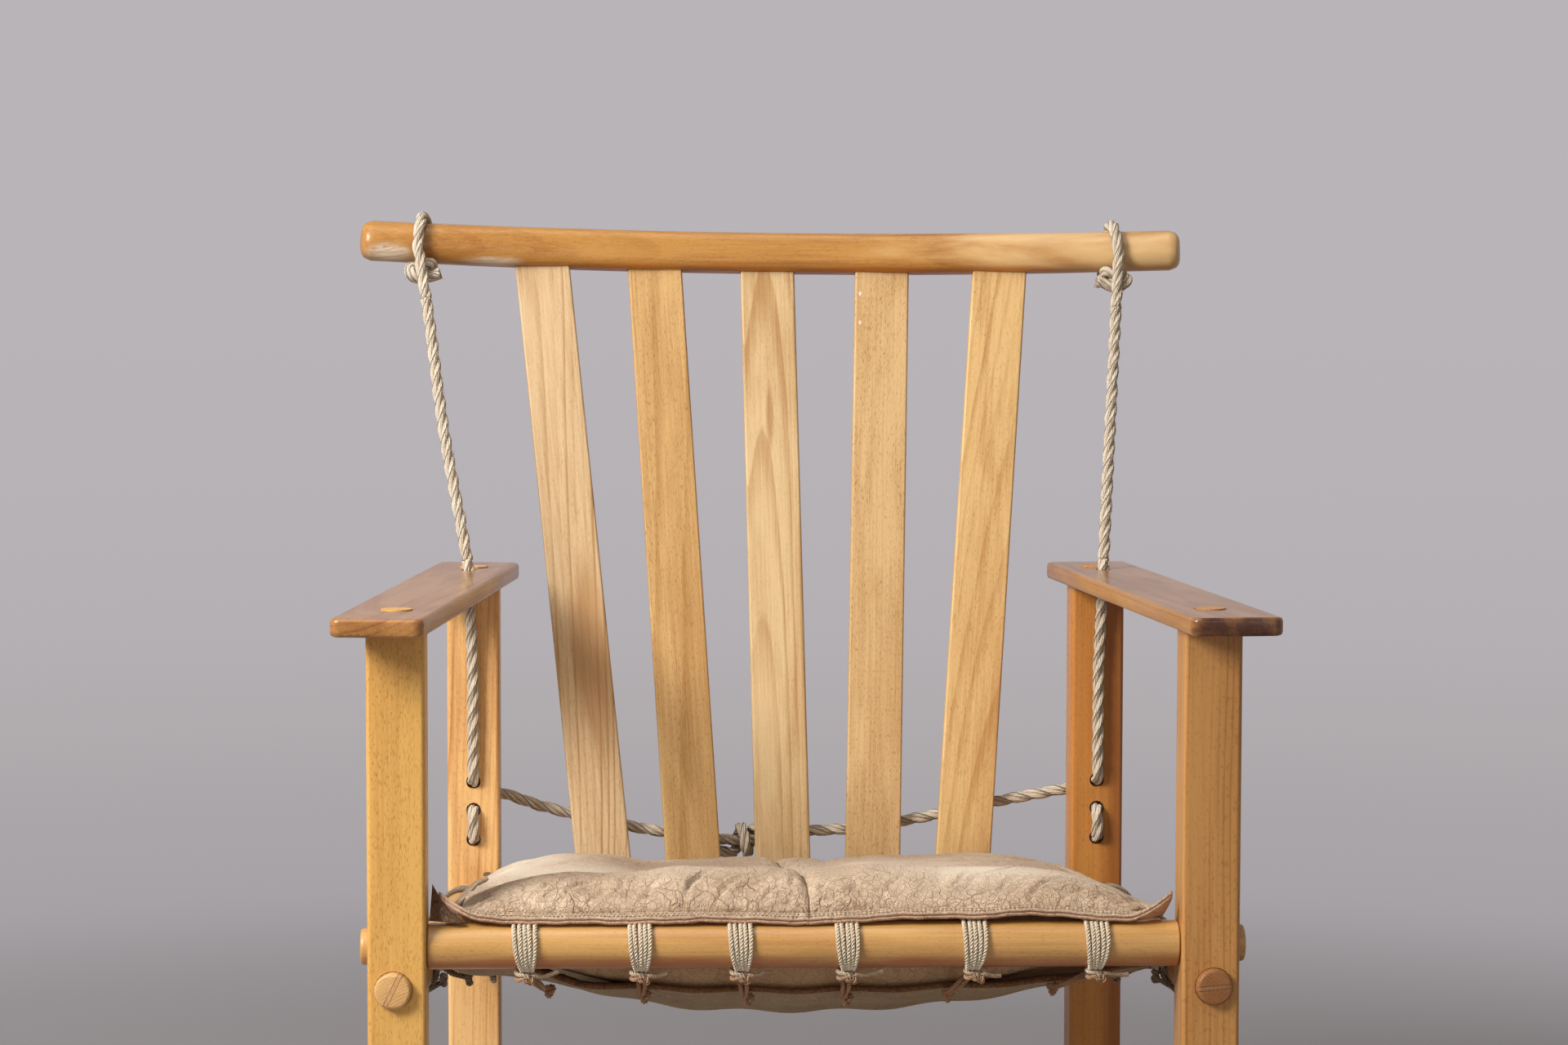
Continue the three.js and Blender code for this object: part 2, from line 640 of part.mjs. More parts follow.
const KNOT_SHARES = [-0.132, 3.86, -5.95];
const KNOT_TAIL_SHARES = [[-2.2, 0.3, -1], [-3.8, 0.1, -0.9]];
const BEHIND_SLATS_SHARES = {
  left: [
    [-0.913, 3.05, -1.7], [-0.803, 3.35, -2.77], [-0.693, 3.38, -3.55], [-0.5, 3.25, -4.65],
    [-0.39, 3.2, -5.13], [-0.25, 3.4, -5.6], [-0.2, 3.86, -5.95], [-0.071, 3.86, -5.95],
  ],
  right: [
    [0.913, 3.15, -1.52], [0.697, 3.46, -2.6], [0.5, 3.36, -3.72], [0.39, 3.26, -4.25],
    [0.2, 3.25, -4.95], [0.083, 3.25, -5.1],
  ],
};
const knot = behind(KNOT_SHARES);

function corner(x, y, z, bend) {
  return Object.assign(vec(x, y, z), { bend });
}

// From the armrest down the rear post, in and out through its three holes, up behind it and inward
// under the first stitch.
function lacedRun(side) {
  const [high, middle, low] = ropeHoles;
  const x = side * REAR_SPREAD;
  const stitch = (high - middle) / 2;
  return [
    stayFoot(side),
    corner(side * ARM_HOLE.x, ARM_HOLE.y, ARM_TOP, 2 * ROPE_BEND),
    corner(x, ropeFront, ARM_TOP - ROPE_EASE_LENGTH, ROPE_EASE),
    corner(x, ropeFront, high, ROPE_BEND),
    corner(x, ropeRear + stitch, high, stitch),
    corner(x, ropeRear + stitch, middle, stitch),
    corner(x, ropeFront, middle, ROPE_BEND),
    corner(x, ropeFront, low, ROPE_BEND),
    corner(x, ropeRear, low, ROPE_BEND),
    corner(x + side * ROPE_BOW, ropeRear, middle, 2 * ROPE_BEND),
    corner(x + side * ROPE_BOW, ropeRear, high - stitch, ROPE_BEND),
    corner(x, ropeRear, high - stitch, ROPE_EASE),
  ];
}

// The right rope's turns round the left one, and its tail.
function knotTurns() {
  const pitch = ROPE + 2 * SOFT_GAP;
  const steps = 18;
  const turns = Array.from({ length: steps + 1 }, (_, i) => {
    const turn = Math.PI / 2 - (3 * Math.PI * i) / steps;
    const x = knot.x + ROPE - (pitch * 1.5 * i) / steps;
    return vec(x, knot.y + pitch * Math.cos(turn), knot.z + pitch * Math.sin(turn));
  });
  return [...turns, ...KNOT_TAIL_SHARES.map((step) => vec(...step).multiplyScalar(ROPE).add(knot))];
}

function makeLowerRopes() {
  const along = (word) => BEHIND_SLATS_SHARES[word].map(behind);
  const left = rounded([...lacedRun(-1), ...along("left")], ROPE_EASE);
  const right = [...rounded([...lacedRun(1), ...along("right")], ROPE_EASE), ...knotTurns()];
  report("rope_left", left, ROPE);
  report("rope_right", right, ROPE);
  return [
    makeMesh("rope_left", tube(left, ROPE, SIDES.rope), MATERIALS.rope),
    makeMesh("rope_right", tube(right, ROPE, SIDES.rope), MATERIALS.rope),
  ];
}

// A point of the chair's frame in the frame of the back.
function inBack(point) {
  return point.sub(vec(0, DEPTH, REAR_RAIL_HEIGHT)).applyAxisAngle(vec(1, 0, 0), lean);
}

// The hitch round the crest rail, in the frame of the back. The rope comes straight up from the
// armrest, goes round the crest rail from the front, then behind itself and back as a tuck.
// The tuck's points count in rope pitches from the crest rail's underside: inward, back and down.
const HITCH_TUCK_SHARES = [
  [1, -0.75, 0.55], [1.05, -1.35, 0.15], [0.62, -1.26, 0.28], [0, -1.13, 0.57], [-0.6, -1.25, 0.55],
  [-1, -1.6, 0.85], [-0.8, -1.7, 1.35], [-0.3, -1.45, 1.52], [0.25, -1.35, 1.56], [0.9, -1.5, 1.32],
  [1.7, -1.75, 1.12],
];

function hitchRoute(share) {
  const inward = -Math.sign(share);
  const { depth, height } = crestSection(share);
  const away = ROPE / 2 + 4 * SEAT_GAP;
  const pitch = ROPE + 2 * SOFT_GAP;
  const steps = 13;
  const beside = (turns) => onCrest(share + (inward * 2 * pitch * turns) / CREST_LENGTH);
  const loop = Array.from({ length: steps + 1 }, (_, i) => {
    const turn = THREE.MathUtils.degToRad(HITCH_START_DEGREES + (HITCH_TURN_DEGREES * i) / steps);
    const round = vec(0, -(depth + away) * Math.cos(turn), (height + away) * Math.sin(turn));
    return beside(i / steps).add(round);
  });
  const tuck = HITCH_TUCK_SHARES.map(([x, y, z]) => beside(x).add(vec(0, y * pitch, -height - z * pitch)));
  const hole = inBack(vec(-inward * ARM_HOLE.x, ARM_HOLE.y, ARM_TOP));
  const fall = hole.sub(loop[0]).normalize();
  return [loop[0].clone().addScaledVector(fall, HITCH_LENGTH), ...loop, ...tuck];
}

function makeHitches() {
  return Object.entries(HITCH_SHARES).map(([word, share]) => {
    const route = hitchRoute(share);
    report(`rope_${word}_hitch`, route, ROPE);
    return makeMesh(`rope_${word}_hitch`, tube(route, ROPE, SIDES.rope), MATERIALS.rope);
  });
}

// The line of a stay: from its hole in the armrest to the foot of the hitch.
function stayLine(side) {
  const share = side < 0 ? HITCH_SHARES.left : HITCH_SHARES.right;
  const start = vec(side * ARM_HOLE.x, ARM_HOLE.y, ARM_TOP);
  const end = hitchRoute(share)[0].applyAxisAngle(vec(1, 0, 0), -lean);
  end.add(vec(0, DEPTH, REAR_RAIL_HEIGHT));
  return { start, end, way: end.clone().sub(start).normalize() };
}

function stayFoot(side) {
  const { start, way } = stayLine(side);
  return start.addScaledVector(way, ROPE_LIFT);
}

function makeStays() {
  return [[-1, "left"], [1, "right"]].map(([side, word]) => {
    const { end, way } = stayLine(side);
    const low = stayFoot(side).addScaledVector(way, SEAT_GAP);
    const high = end.addScaledVector(way, -SEAT_GAP);
    const steps = 6;
    const route = Array.from({ length: steps + 1 }, (_, i) => {
      const bow = (STAY_BOWS[word] * (1 - Math.cos((2 * Math.PI * i) / steps))) / 2;
      return low.clone().lerp(high, i / steps).add(vec(-bow, 0, 0));
    });
    return makeMesh(`rope_${word}_stay`, tube(route, ROPE, SIDES.rope), MATERIALS.rope);
  });
}

// Assembly

function build() {
  const chair = new THREE.Group();
  const back = new THREE.Group();
  back.position.set(0, DEPTH, REAR_RAIL_HEIGHT);
  back.rotation.x = -lean;

  const bore = TENON + 2 * SEAT_GAP;
  const across = (y, z) => {
    const tool = borer(bore, 2 * FRONT_SPREAD + 2 * POST_SIZE);
    tool.position.set(0, y, z);
    tool.rotation.z = Math.PI / 2;
    return tool;
  };
  const sideBores = [-1, 1].map((side) => {
    const tool = borer(bore, DEPTH + 2 * POST_SIZE);
    tool.position.set((side * (FRONT_SPREAD + REAR_SPREAD)) / 2, DEPTH / 2, SIDE_RAIL_HEIGHT);
    tool.rotation.z = side * toe;
    return tool;
  });
  const ropeBores = [-1, 1].flatMap((side) =>
    ropeHoles.map((height) => {
      const tool = borer(ROPE_HOLE, 2 * POST_SIZE, SIDES.small);
      tool.position.set(side * REAR_SPREAD, DEPTH, height);
      return tool;
    }),
  );
  const armBores = [-1, 1].flatMap((side) =>
    [
      [side * FRONT_SPREAD, 0, ARM_TENON + 2 * SEAT_GAP],
      [side * REAR_SPREAD, DEPTH, ARM_TENON + 2 * SEAT_GAP],
      [side * ARM_HOLE.x, ARM_HOLE.y, ARM_ROPE_HOLE],
    ].map(([x, y, diameter]) => {
      const tool = borer(diameter, 4 * ARM_THICKNESS);
      tool.position.set(x, y, ARM_TOP);
      tool.rotation.x = Math.PI / 2;
      return tool;
    }),
  );

  for (const [side, word] of [[-1, "left"], [1, "right"]]) {
    const frontPost = makePost(`front_post_${word}`, side * FRONT_SPREAD, 0);
    cut(frontPost, [across(0, FRONT_RAIL_HEIGHT), ...sideBores]);
    const rearPost = makePost(`rear_post_${word}`, side * REAR_SPREAD, DEPTH);
    cut(rearPost, [across(DEPTH, REAR_RAIL_HEIGHT), ...sideBores, ...ropeBores]);
    const armrest = makeArmrest(`armrest_${word}`, side);
    cut(armrest, armBores);
    chair.add(frontPost, rearPost, armrest);
  }

  const shoulder = SEAT_GAP + (RAIL / 2) * Math.tan(toe);
  const straight = POST_SIZE + SEAT_GAP + TENON_PROUD;
  const slanted = POST_SIZE / Math.cos(toe) + shoulder + TENON_PROUD;
  const frontRail = makeRail(
    "front_rail", 2 * FRONT_SPREAD - POST_SIZE - 2 * SEAT_GAP, straight, ["left", "right"], [0, 0],
  );
  frontRail.position.set(0, 0, FRONT_RAIL_HEIGHT);
  frontRail.rotation.z = -Math.PI / 2;
  chair.add(frontRail);
  const sideLength = (DEPTH - POST_SIZE) / Math.cos(toe) - 2 * shoulder;
  for (const [side, word] of [[-1, "left"], [1, "right"]]) {
    const turns = [SIDE_WEDGE_DEGREES[word], SIDE_WEDGE_DEGREES.rear].map(THREE.MathUtils.degToRad);
    const rail = makeRail(`side_rail_${word}`, sideLength, slanted, ["front", "rear"], turns);
    rail.position.set((side * (FRONT_SPREAD + REAR_SPREAD)) / 2, DEPTH / 2, SIDE_RAIL_HEIGHT);
    rail.rotation.z = side * toe;
    chair.add(rail);
  }

  const rearRail = makeRail(
    "rear_rail", 2 * REAR_SPREAD - POST_SIZE - 2 * SEAT_GAP, straight, ["left", "right"], [0, 0],
  );
  rearRail.rotation.z = -Math.PI / 2;
  rearRail.updateMatrix();
  const slats = SLAT_HEAD_SHARES.map((_, i) => makeSlat(`slat_${i + 1}`, i, 0));
  const mortises = SLAT_HEAD_SHARES.map((_, i) => makeSlat(`mortise_${i + 1}`, i, SEAT_GAP));
  const crest = makeCrest();
  cut(crest, mortises);
  const railMesh = rearRail.children.find((child) => child.name === "rear_rail");
  const inRail = mortises.map((tool) => {
    tool.updateMatrix();
    const shift = rearRail.matrix.clone().invert().multiply(tool.matrix);
    return new THREE.Mesh(tool.geometry.clone().applyMatrix4(shift));
  });
  cut(railMesh, inRail);
  back.add(rearRail, crest, ...slats, ...makeHitches());

  const sling = makeSling();
  const lashings = makeLashings(sling);
  chair.add(sling, makeCushion(), ...lashings, ...makeLowerRopes(), ...makeStays(), back);
  return chair;
}

// The origin is on the floor under the middle of the chair's outline.
const chair = build();
const outline = new THREE.Box3().setFromObject(chair, true);
const middle = outline.getCenter(vec(0, 0, 0));
chair.position.set(-middle.x, -middle.y, 0);
console.log(`origin moved by ${chair.position.x.toFixed(2)} and ${chair.position.y.toFixed(2)} mm`);

export default chair;
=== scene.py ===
"""Looks of a rope-back armchair: beech frame, twisted ropes, a laced leather sling and a leather cushion."""

import json
import math

import bpy
import numpy as np
from mathutils import Matrix, Vector

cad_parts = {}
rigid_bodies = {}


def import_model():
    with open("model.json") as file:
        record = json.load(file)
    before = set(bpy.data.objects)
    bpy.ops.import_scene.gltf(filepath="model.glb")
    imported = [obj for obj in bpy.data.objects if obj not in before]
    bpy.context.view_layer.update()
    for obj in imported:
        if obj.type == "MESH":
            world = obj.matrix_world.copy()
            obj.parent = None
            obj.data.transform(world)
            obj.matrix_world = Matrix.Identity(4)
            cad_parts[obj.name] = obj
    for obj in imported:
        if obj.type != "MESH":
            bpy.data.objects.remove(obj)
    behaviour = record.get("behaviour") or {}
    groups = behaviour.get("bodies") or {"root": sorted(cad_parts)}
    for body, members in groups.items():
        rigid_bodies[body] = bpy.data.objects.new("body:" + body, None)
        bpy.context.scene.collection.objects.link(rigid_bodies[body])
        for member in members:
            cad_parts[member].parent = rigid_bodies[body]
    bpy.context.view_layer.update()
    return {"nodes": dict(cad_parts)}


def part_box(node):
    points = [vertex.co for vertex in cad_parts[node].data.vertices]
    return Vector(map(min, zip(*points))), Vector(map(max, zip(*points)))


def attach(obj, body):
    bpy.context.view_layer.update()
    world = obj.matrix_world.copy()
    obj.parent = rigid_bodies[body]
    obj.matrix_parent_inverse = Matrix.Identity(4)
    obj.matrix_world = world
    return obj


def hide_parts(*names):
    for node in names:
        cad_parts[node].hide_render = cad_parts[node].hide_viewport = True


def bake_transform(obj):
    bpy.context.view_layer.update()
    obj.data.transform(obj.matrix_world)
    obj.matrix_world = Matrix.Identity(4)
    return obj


for left_over in list(bpy.data.objects):
    bpy.data.objects.remove(left_over)
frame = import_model()
NODES = frame["nodes"]
SCENE = bpy.context.scene
RANDOM = np.random.default_rng(7)

# Sizes, in the chair frame: millimetres, x right, y away from the viewer, z up, from the floor between the
# front posts

DEPTH, FRONT, REAR = 386, 306, 264
POST, ARM_TOP = 44, 644.5
RAIL, RAILS = 35, {"front": 390, "side": 360.5, "rear": 331}
ROPE, CORD = 10, 3.8
SEAT_GAP, SOFT_GAP = 0.3, 0.7
SLAT_SPACING = 74.2
CREST = {
    "length": 709, "height": 34.5, "depth": 30, "bow": 36, "rise": 591, "sway": -9, "tilt": math.radians(0.6),
}
LEAN = math.radians(12)
TOE = math.atan2(FRONT - REAR, DEPTH)
PIVOT = np.array([0, DEPTH, RAILS["rear"]], float)
SIDES = ((-1, "left"), (1, "right"))
FULL_TURN = 2 * math.pi

LEFT_LOW, LEFT_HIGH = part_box("front_post_left")
RIGHT_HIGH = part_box("front_post_right")[1]
SHIFT = np.array([(LEFT_LOW.x + RIGHT_HIGH.x) / 2, (LEFT_LOW.y + LEFT_HIGH.y) / 2, 0.0])


def row(points):
    """Chair frame in millimetres to the row frame in metres."""
    return np.asarray(points, float) / 1000 + SHIFT


def from_back(points):
    """A point in the frame of the leaning back, in the chair frame."""
    p = np.asarray(points, float)
    y, z = p[..., 1], p[..., 2]
    c, s = math.cos(LEAN), math.sin(LEAN)
    return np.stack([p[..., 0], PIVOT[1] + y * c + z * s, PIVOT[2] - y * s + z * c], -1)


def smoothstep(x, low, high):
    t = np.clip((np.asarray(x, float) - low) / (high - low), 0, 1)
    return t * t * (3 - 2 * t)


def bell(x, centre, wide):
    """1 at the centre and near 0 from twice the width."""
    return np.exp(-((x - centre) / wide) ** 2)


# Camera

CAMERA = {"place": (-126.86, -2956.51, 922.47), "way": (0.03742, 0.99673, -0.07167), "roll": 0.12}
FOCAL_PIXELS = 4842.5
PHOTO_WIDTH = 1920
SENSOR = 36.0


def make_camera():
    data = bpy.data.cameras.new("camera")
    data.sensor_fit = "HORIZONTAL"
    data.sensor_width = SENSOR
    data.lens = FOCAL_PIXELS / PHOTO_WIDTH * SENSOR
    data.clip_start, data.clip_end = 0.05, 60
    camera = bpy.data.objects.new("camera", data)
    SCENE.collection.objects.link(camera)
    way = Vector(CAMERA["way"]).normalized()
    right = way.cross(Vector((0, 0, 1))).normalized()
    up = right.cross(way)
    turn = Matrix.Rotation(-math.radians(CAMERA["roll"]), 3, way)
    basis = Matrix((turn @ right, turn @ up, -way)).transposed().to_4x4()
    basis.translation = Vector(row(CAMERA["place"]))
    camera.matrix_world = basis
    SCENE.camera = camera


make_camera()

# Mesh helpers


def mesh_object(name, points, faces, *materials):
    mesh = bpy.data.meshes.new(name)
    mesh.from_pydata([tuple(p) for p in points], [], [tuple(int(i) for i in f) for f in faces])
    mesh.update()
    mesh.polygons.foreach_set("use_smooth", [True] * len(mesh.polygons))
    for material in materials:
        mesh.materials.append(material)
    thing = bpy.data.objects.new(name, mesh)
    SCENE.collection.objects.link(thing)
    return thing


def lengths(points):
    """How far along a line each of its points lies."""
    steps = np.linalg.norm(np.diff(points, axis=0), axis=1)
    return np.concatenate([[0], np.cumsum(steps)])


def resampled(points, step):
    points = np.asarray(points, float)
    run = lengths(points)
    count = max(4, int(round(run[-1] / step)) + 1)
    at = np.linspace(0, run[-1], count)
    return np.stack([np.interp(at, run, points[:, k]) for k in range(3)], 1)


def eased(points, times):
    points = points.copy()
    for _ in range(times):
        points[1:-1] = points[1:-1] / 2 + (points[:-2] + points[2:]) / 4
    return points


def carried_frames(points):
    """Tangents, and normals carried along without twist."""
    way = np.gradient(points, axis=0)
    way /= np.linalg.norm(way, axis=1)[:, None]
    normal = np.zeros_like(points)
    start = np.array([1.0, 0, 0]) if abs(way[0][0]) < 0.7 else np.array([0, 1.0, 0])
    normal[0] = start - way[0] * (start @ way[0])
    normal[0] /= np.linalg.norm(normal[0])
    for i in range(1, len(points)):
        n = normal[i - 1] - way[i] * (normal[i - 1] @ way[i])
        normal[i] = n / np.linalg.norm(n)
    return way, normal, np.cross(way, normal)


def circles(centre, radius, angle, a, b):
    """A ring of points round each centre, at angles measured from the way a towards the way b."""
    spokes = np.cos(angle)[..., None] * a + np.sin(angle)[..., None] * b
    return centre[:, None] + radius[:, None, None] * spokes


def even_angles(count):
    return FULL_TURN * np.arange(count) / count


def skinned(rings, first_index=0):
    """Points and faces of a closed tube through rings, both ends capped."""
    count, around = rings.shape[:2]
    i, j = np.meshgrid(np.arange(count - 1), np.arange(around), indexing="ij")
    a = i * around + j
    b = i * around + (j + 1) % around
    faces = np.stack([a, b, b + around, a + around], -1).reshape(-1, 4) + first_index
    first = list(range(first_index, first_index + around))[::-1]
    last = list(range(first_index + (count - 1) * around, first_index + count * around))
    return rings.reshape(-1, 3), [*faces.tolist(), first, last]


def grid_sheet(name, top, bottom, material):
    """A closed sheet between two grids of points of the same shape."""
    rows, columns = top.shape[:2]
    points = np.concatenate([top.reshape(-1, 3), bottom.reshape(-1, 3)])
    i, j = np.meshgrid(np.arange(rows - 1), np.arange(columns - 1), indexing="ij")
    a = (i * columns + j).ravel()
    upper = np.stack([a, a + 1, a + columns + 1, a + columns], -1)
    lower = np.stack([a, a + columns, a + columns + 1, a + 1], -1) + rows * columns
    rim = [(0, j) for j in range(columns)] + [(i, columns - 1) for i in range(1, rows)]
    rim += [(rows - 1, j) for j in range(columns - 2, -1, -1)] + [(i, 0) for i in range(rows - 2, 0, -1)]
    rim = np.array([i * columns + j for i, j in rim])
    after = np.roll(rim, -1)
    side = np.stack([rim, rim + rows * columns, after + rows * columns, after], -1)
    return mesh_object(name, points, np.concatenate([upper, lower, side]), material)


def vectors_of(items, field):
    """One vector of each vertex or face of a mesh, as rows."""
    values = np.empty(len(items) * 3, np.float32)
    items.foreach_get(field, values)
    return values.reshape(-1, 3).astype(float)


def write_points(mesh, points):
    mesh.vertices.foreach_set("co", np.asarray(points, np.float32).ravel())
    mesh.update()


def with_modifier(thing, kind, **settings):
    """Applies one modifier to the object's mesh."""
    modifier = thing.modifiers.new(kind.lower(), kind)
    for key, value in settings.items():
        setattr(modifier, key, value)
    ready = thing.evaluated_get(bpy.context.evaluated_depsgraph_get())
    mesh = bpy.data.meshes.new_from_object(ready)
    thing.modifiers.remove(modifier)
    old, thing.data = thing.data, mesh
    bpy.data.meshes.remove(old)


# Twisted ropes: share and offset are a strand's width and its distance from the middle, and pitch is the
# length of its full turn, all in rope diameters; fuzz is how many loose fibres, their length and thickness

ROPE_LAY = {"share": 0.575, "offset": 0.218, "pitch": 5.2}
CORD_LAY = {"share": 0.51, "offset": 0.268, "pitch": 2.15}
ROPE_FUZZ = (160, 0.0055, 0.00009)
CORD_FUZZ = (70, 0.004, 0.00011)
STRANDS = 3
FIBRE_STEPS, FIBRE_SIDES = 5, 3


def put_lay(thing, values):
    """Stores where each point is on its strand: round it, along it and a strand number."""
    attribute = thing.data.attributes.new("lay", "FLOAT_VECTOR", "POINT")
    attribute.data.foreach_set("vector", np.asarray(values, np.float32).ravel())


def loose_fibres(centre, way, normal, across, reach, fuzz, first_index):
    """Fine fibres standing off a rope."""
    count, length, thick = fuzz
    points, faces = [], []
    for _ in range(count):
        i = int(RANDOM.integers(0, len(centre)))
        angle = RANDOM.uniform(0, FULL_TURN)
        out = normal[i] * math.cos(angle) + across[i] * math.sin(angle)
        round_it = np.cross(way[i], out)
        share = np.linspace(0, 1, FIBRE_STEPS)[:, None]
        long = length * RANDOM.uniform(0.4, 1.3)
        drift = way[i] * RANDOM.uniform(0.3, 1.0) + round_it * RANDOM.uniform(-0.5, 0.5)
        spine = centre[i] + out * reach * 0.9 + out * long * 0.45 * share ** 1.4 + drift * long * share
        spine += round_it * long * 0.25 * np.sin(share * 3.5 + angle)
        size = thick * (1 - 0.6 * share[:, 0])
        ring = circles(spine, size, even_angles(FIBRE_SIDES), out, round_it)
        more, more_faces = skinned(ring, first_index + len(points) * FIBRE_STEPS * FIBRE_SIDES)
        points.append(more)
        faces += more_faces
    return np.concatenate(points), faces


def stranded(name, route, diameter, lay, material, sides=10, step=None, phase=0.0, flare=0.0, fuzz=None):
    """A three-strand rope along a route in the row frame; flare opens its last end a little."""
    centre = eased(resampled(route, step or diameter * 0.2), 4)
    way, normal, across = carried_frames(centre)
    run = lengths(centre)
    angle = even_angles(sides)
    points, faces, lays = [], [], []
    for k in range(STRANDS):
        turn = phase + FULL_TURN * (k / STRANDS + run / (lay["pitch"] * diameter))
        open_end = 1 + flare * np.clip(1 - (run[-1] - run) / (0.8 * diameter), 0, 1)
        offset = lay["offset"] * diameter * open_end
        heart = centre + offset[:, None] * (np.cos(turn)[:, None] * normal + np.sin(turn)[:, None] * across)
        uneven = 1 + 0.035 * np.sin(run / diameter * 3.1 + 2.1 * k) + 0.02 * np.sin(run / diameter * 7.7 + k)
        radius = lay["share"] * diameter / 2 * uneven
        ring = circles(heart, radius, angle[None, :] + turn[:, None], normal[:, None], across[:, None])
        more, more_faces = skinned(ring, len(points) * len(run) * sides)
        points.append(more)
        faces += more_faces
        girth = np.broadcast_to(angle / FULL_TURN, ring.shape[:2])
        along = np.broadcast_to(run[:, None], ring.shape[:2])
        lays.append(np.stack([girth, along, np.full(ring.shape[:2], k + 1.0)], -1).reshape(-1, 3))
    if fuzz:
        first_index = STRANDS * len(run) * sides
        more, more_faces = loose_fibres(centre, way, normal, across, diameter / 2, fuzz, first_index)
        points.append(more)
        faces += more_faces
        lays.append(np.tile([0.5, 0.0, STRANDS + 1.0], (len(more), 1)))
    thing = mesh_object(name, np.concatenate(points), faces, material)
    put_lay(thing, np.concatenate(lays))
    return thing


# Node materials


class Value:
    """A number in a material's nodes, so that formulas with it are written as usual."""

    def __init__(self, nodes, socket):
        self.nodes = nodes
        self.socket = socket

    def __add__(self, other):
        return self.nodes.math("ADD", self, other)

    def __sub__(self, other):
        return self.nodes.math("SUBTRACT", self, other)

    def __rsub__(self, other):
        return self.nodes.math("SUBTRACT", other, self)

    def __mul__(self, other):
        return self.nodes.math("MULTIPLY", self, other)

    def __truediv__(self, other):
        return self.nodes.math("DIVIDE", self, other)

    __radd__ = __add__
    __rmul__ = __mul__


def feed(socket, value):
    """Links a value to an input, or sets the input to it."""
    value = getattr(value, "socket", value)
    if isinstance(value, bpy.types.NodeSocket):
        socket.node.id_data.links.new(value, socket)
    elif socket.type == "RGBA":
        socket.default_value = (*value, 1.0)
    else:
        socket.default_value = value


class Nodes:
    """Builds one material's nodes."""

    def __init__(self, name):
        self.material = bpy.data.materials.new(name)
        self.material.use_nodes = True
        self.tree = self.material.node_tree
        self.shader = self.tree.nodes["Principled BSDF"]
        self.place = self.node("ShaderNodeTexCoord").outputs["Object"]

    def node(self, kind, inputs=None, **settings):
        node = self.tree.nodes.new(kind)
        for key, value in settings.items():
            setattr(node, key, value)
        for key, value in (inputs or {}).items():
            feed(node.inputs[key], value)
        return node

    def value(self, output, kind, inputs, **settings):
        return Value(self, self.node(kind, inputs, **settings).outputs[output])

    def math(self, operation, a, b=0.0):
        return self.value(0, "ShaderNodeMath", {0: a, 1: b}, operation=operation)

    def vector(self, operation, a, b=(0, 0, 0)):
        return self.node("ShaderNodeVectorMath", {0: a, 1: b}, operation=operation).outputs["Vector"]

    def length(self, vector):
        return self.value("Value", "ShaderNodeVectorMath", {0: vector}, operation="LENGTH")

    def parts(self, vector):
        return [Value(self, part) for part in self.node("ShaderNodeSeparateXYZ", {0: vector}).outputs]

    def joined(self, x, y, z):
        return self.node("ShaderNodeCombineXYZ", {0: x, 1: y, 2: z}).outputs[0]

    def mapped(self, vector, **inputs):
        return self.node("ShaderNodeMapping", {"Vector": vector, **inputs}, vector_type="POINT").outputs[0]

    def noise(self, vector, scale=1.0, detail=2.0, rough=0.5, warp=0.0):
        inputs = {"Vector": vector, "Scale": scale, "Detail": detail, "Roughness": rough, "Distortion": warp}
        return self.value("Fac", "ShaderNodeTexNoise", inputs)

    def cell_edges(self, vector, scale):
        inputs = {"Vector": vector, "Scale": scale}
        return self.value("Distance", "ShaderNodeTexVoronoi", inputs, feature="DISTANCE_TO_EDGE")

    def ranged(self, value, low, high, to_low=0.0, to_high=1.0, kind="SMOOTHSTEP"):
        inputs = {"Value": value, "From Min": low, "From Max": high, "To Min": to_low, "To Max": to_high}
        return self.value("Result", "ShaderNodeMapRange", inputs, interpolation_type=kind)

    def mix(self, share, a, b, blend="MIX"):
        inputs = {"Factor": share, 6: a, 7: b}
        node = self.tree.nodes.new("ShaderNodeMix")
        node.data_type, node.blend_type = "RGBA", blend
        for key, value in inputs.items():
            feed(node.inputs[key], value)
        return node.outputs[2]

    def bump(self, height, distance, strength=1.0):
        inputs = {"Height": height, "Distance": distance, "Strength": strength}
        return self.node("ShaderNodeBump", inputs).outputs[0]

    def attribute(self, name, output="Vector"):
        return self.value(output, "ShaderNodeAttribute", {}, attribute_name=name)

    def done(self, color, roughness, **inputs):
        feed(self.shader.inputs["Base Color"], color)
        feed(self.shader.inputs["Roughness"], roughness)
        for key, value in inputs.items():
            feed(self.shader.inputs[key.replace("_", " ")], value)
        return self.material


# Beech

# Noise cells in a metre across the grain and along it
WOOD_GRAIN = {"wave": (9, 2.2), "fine": (70, 7), "cloud": (34, 6.0), "fibre": (1500, 45), "streak": (520, 9)}
RAY_CELLS = (1700, 150, 270)
SMOOTH_DEGREES = 50
MERGE_DISTANCE = 1e-5
UP, RIGHT, BACK = (0, 0, 1), (1, 0, 0), (0, 1, 0)


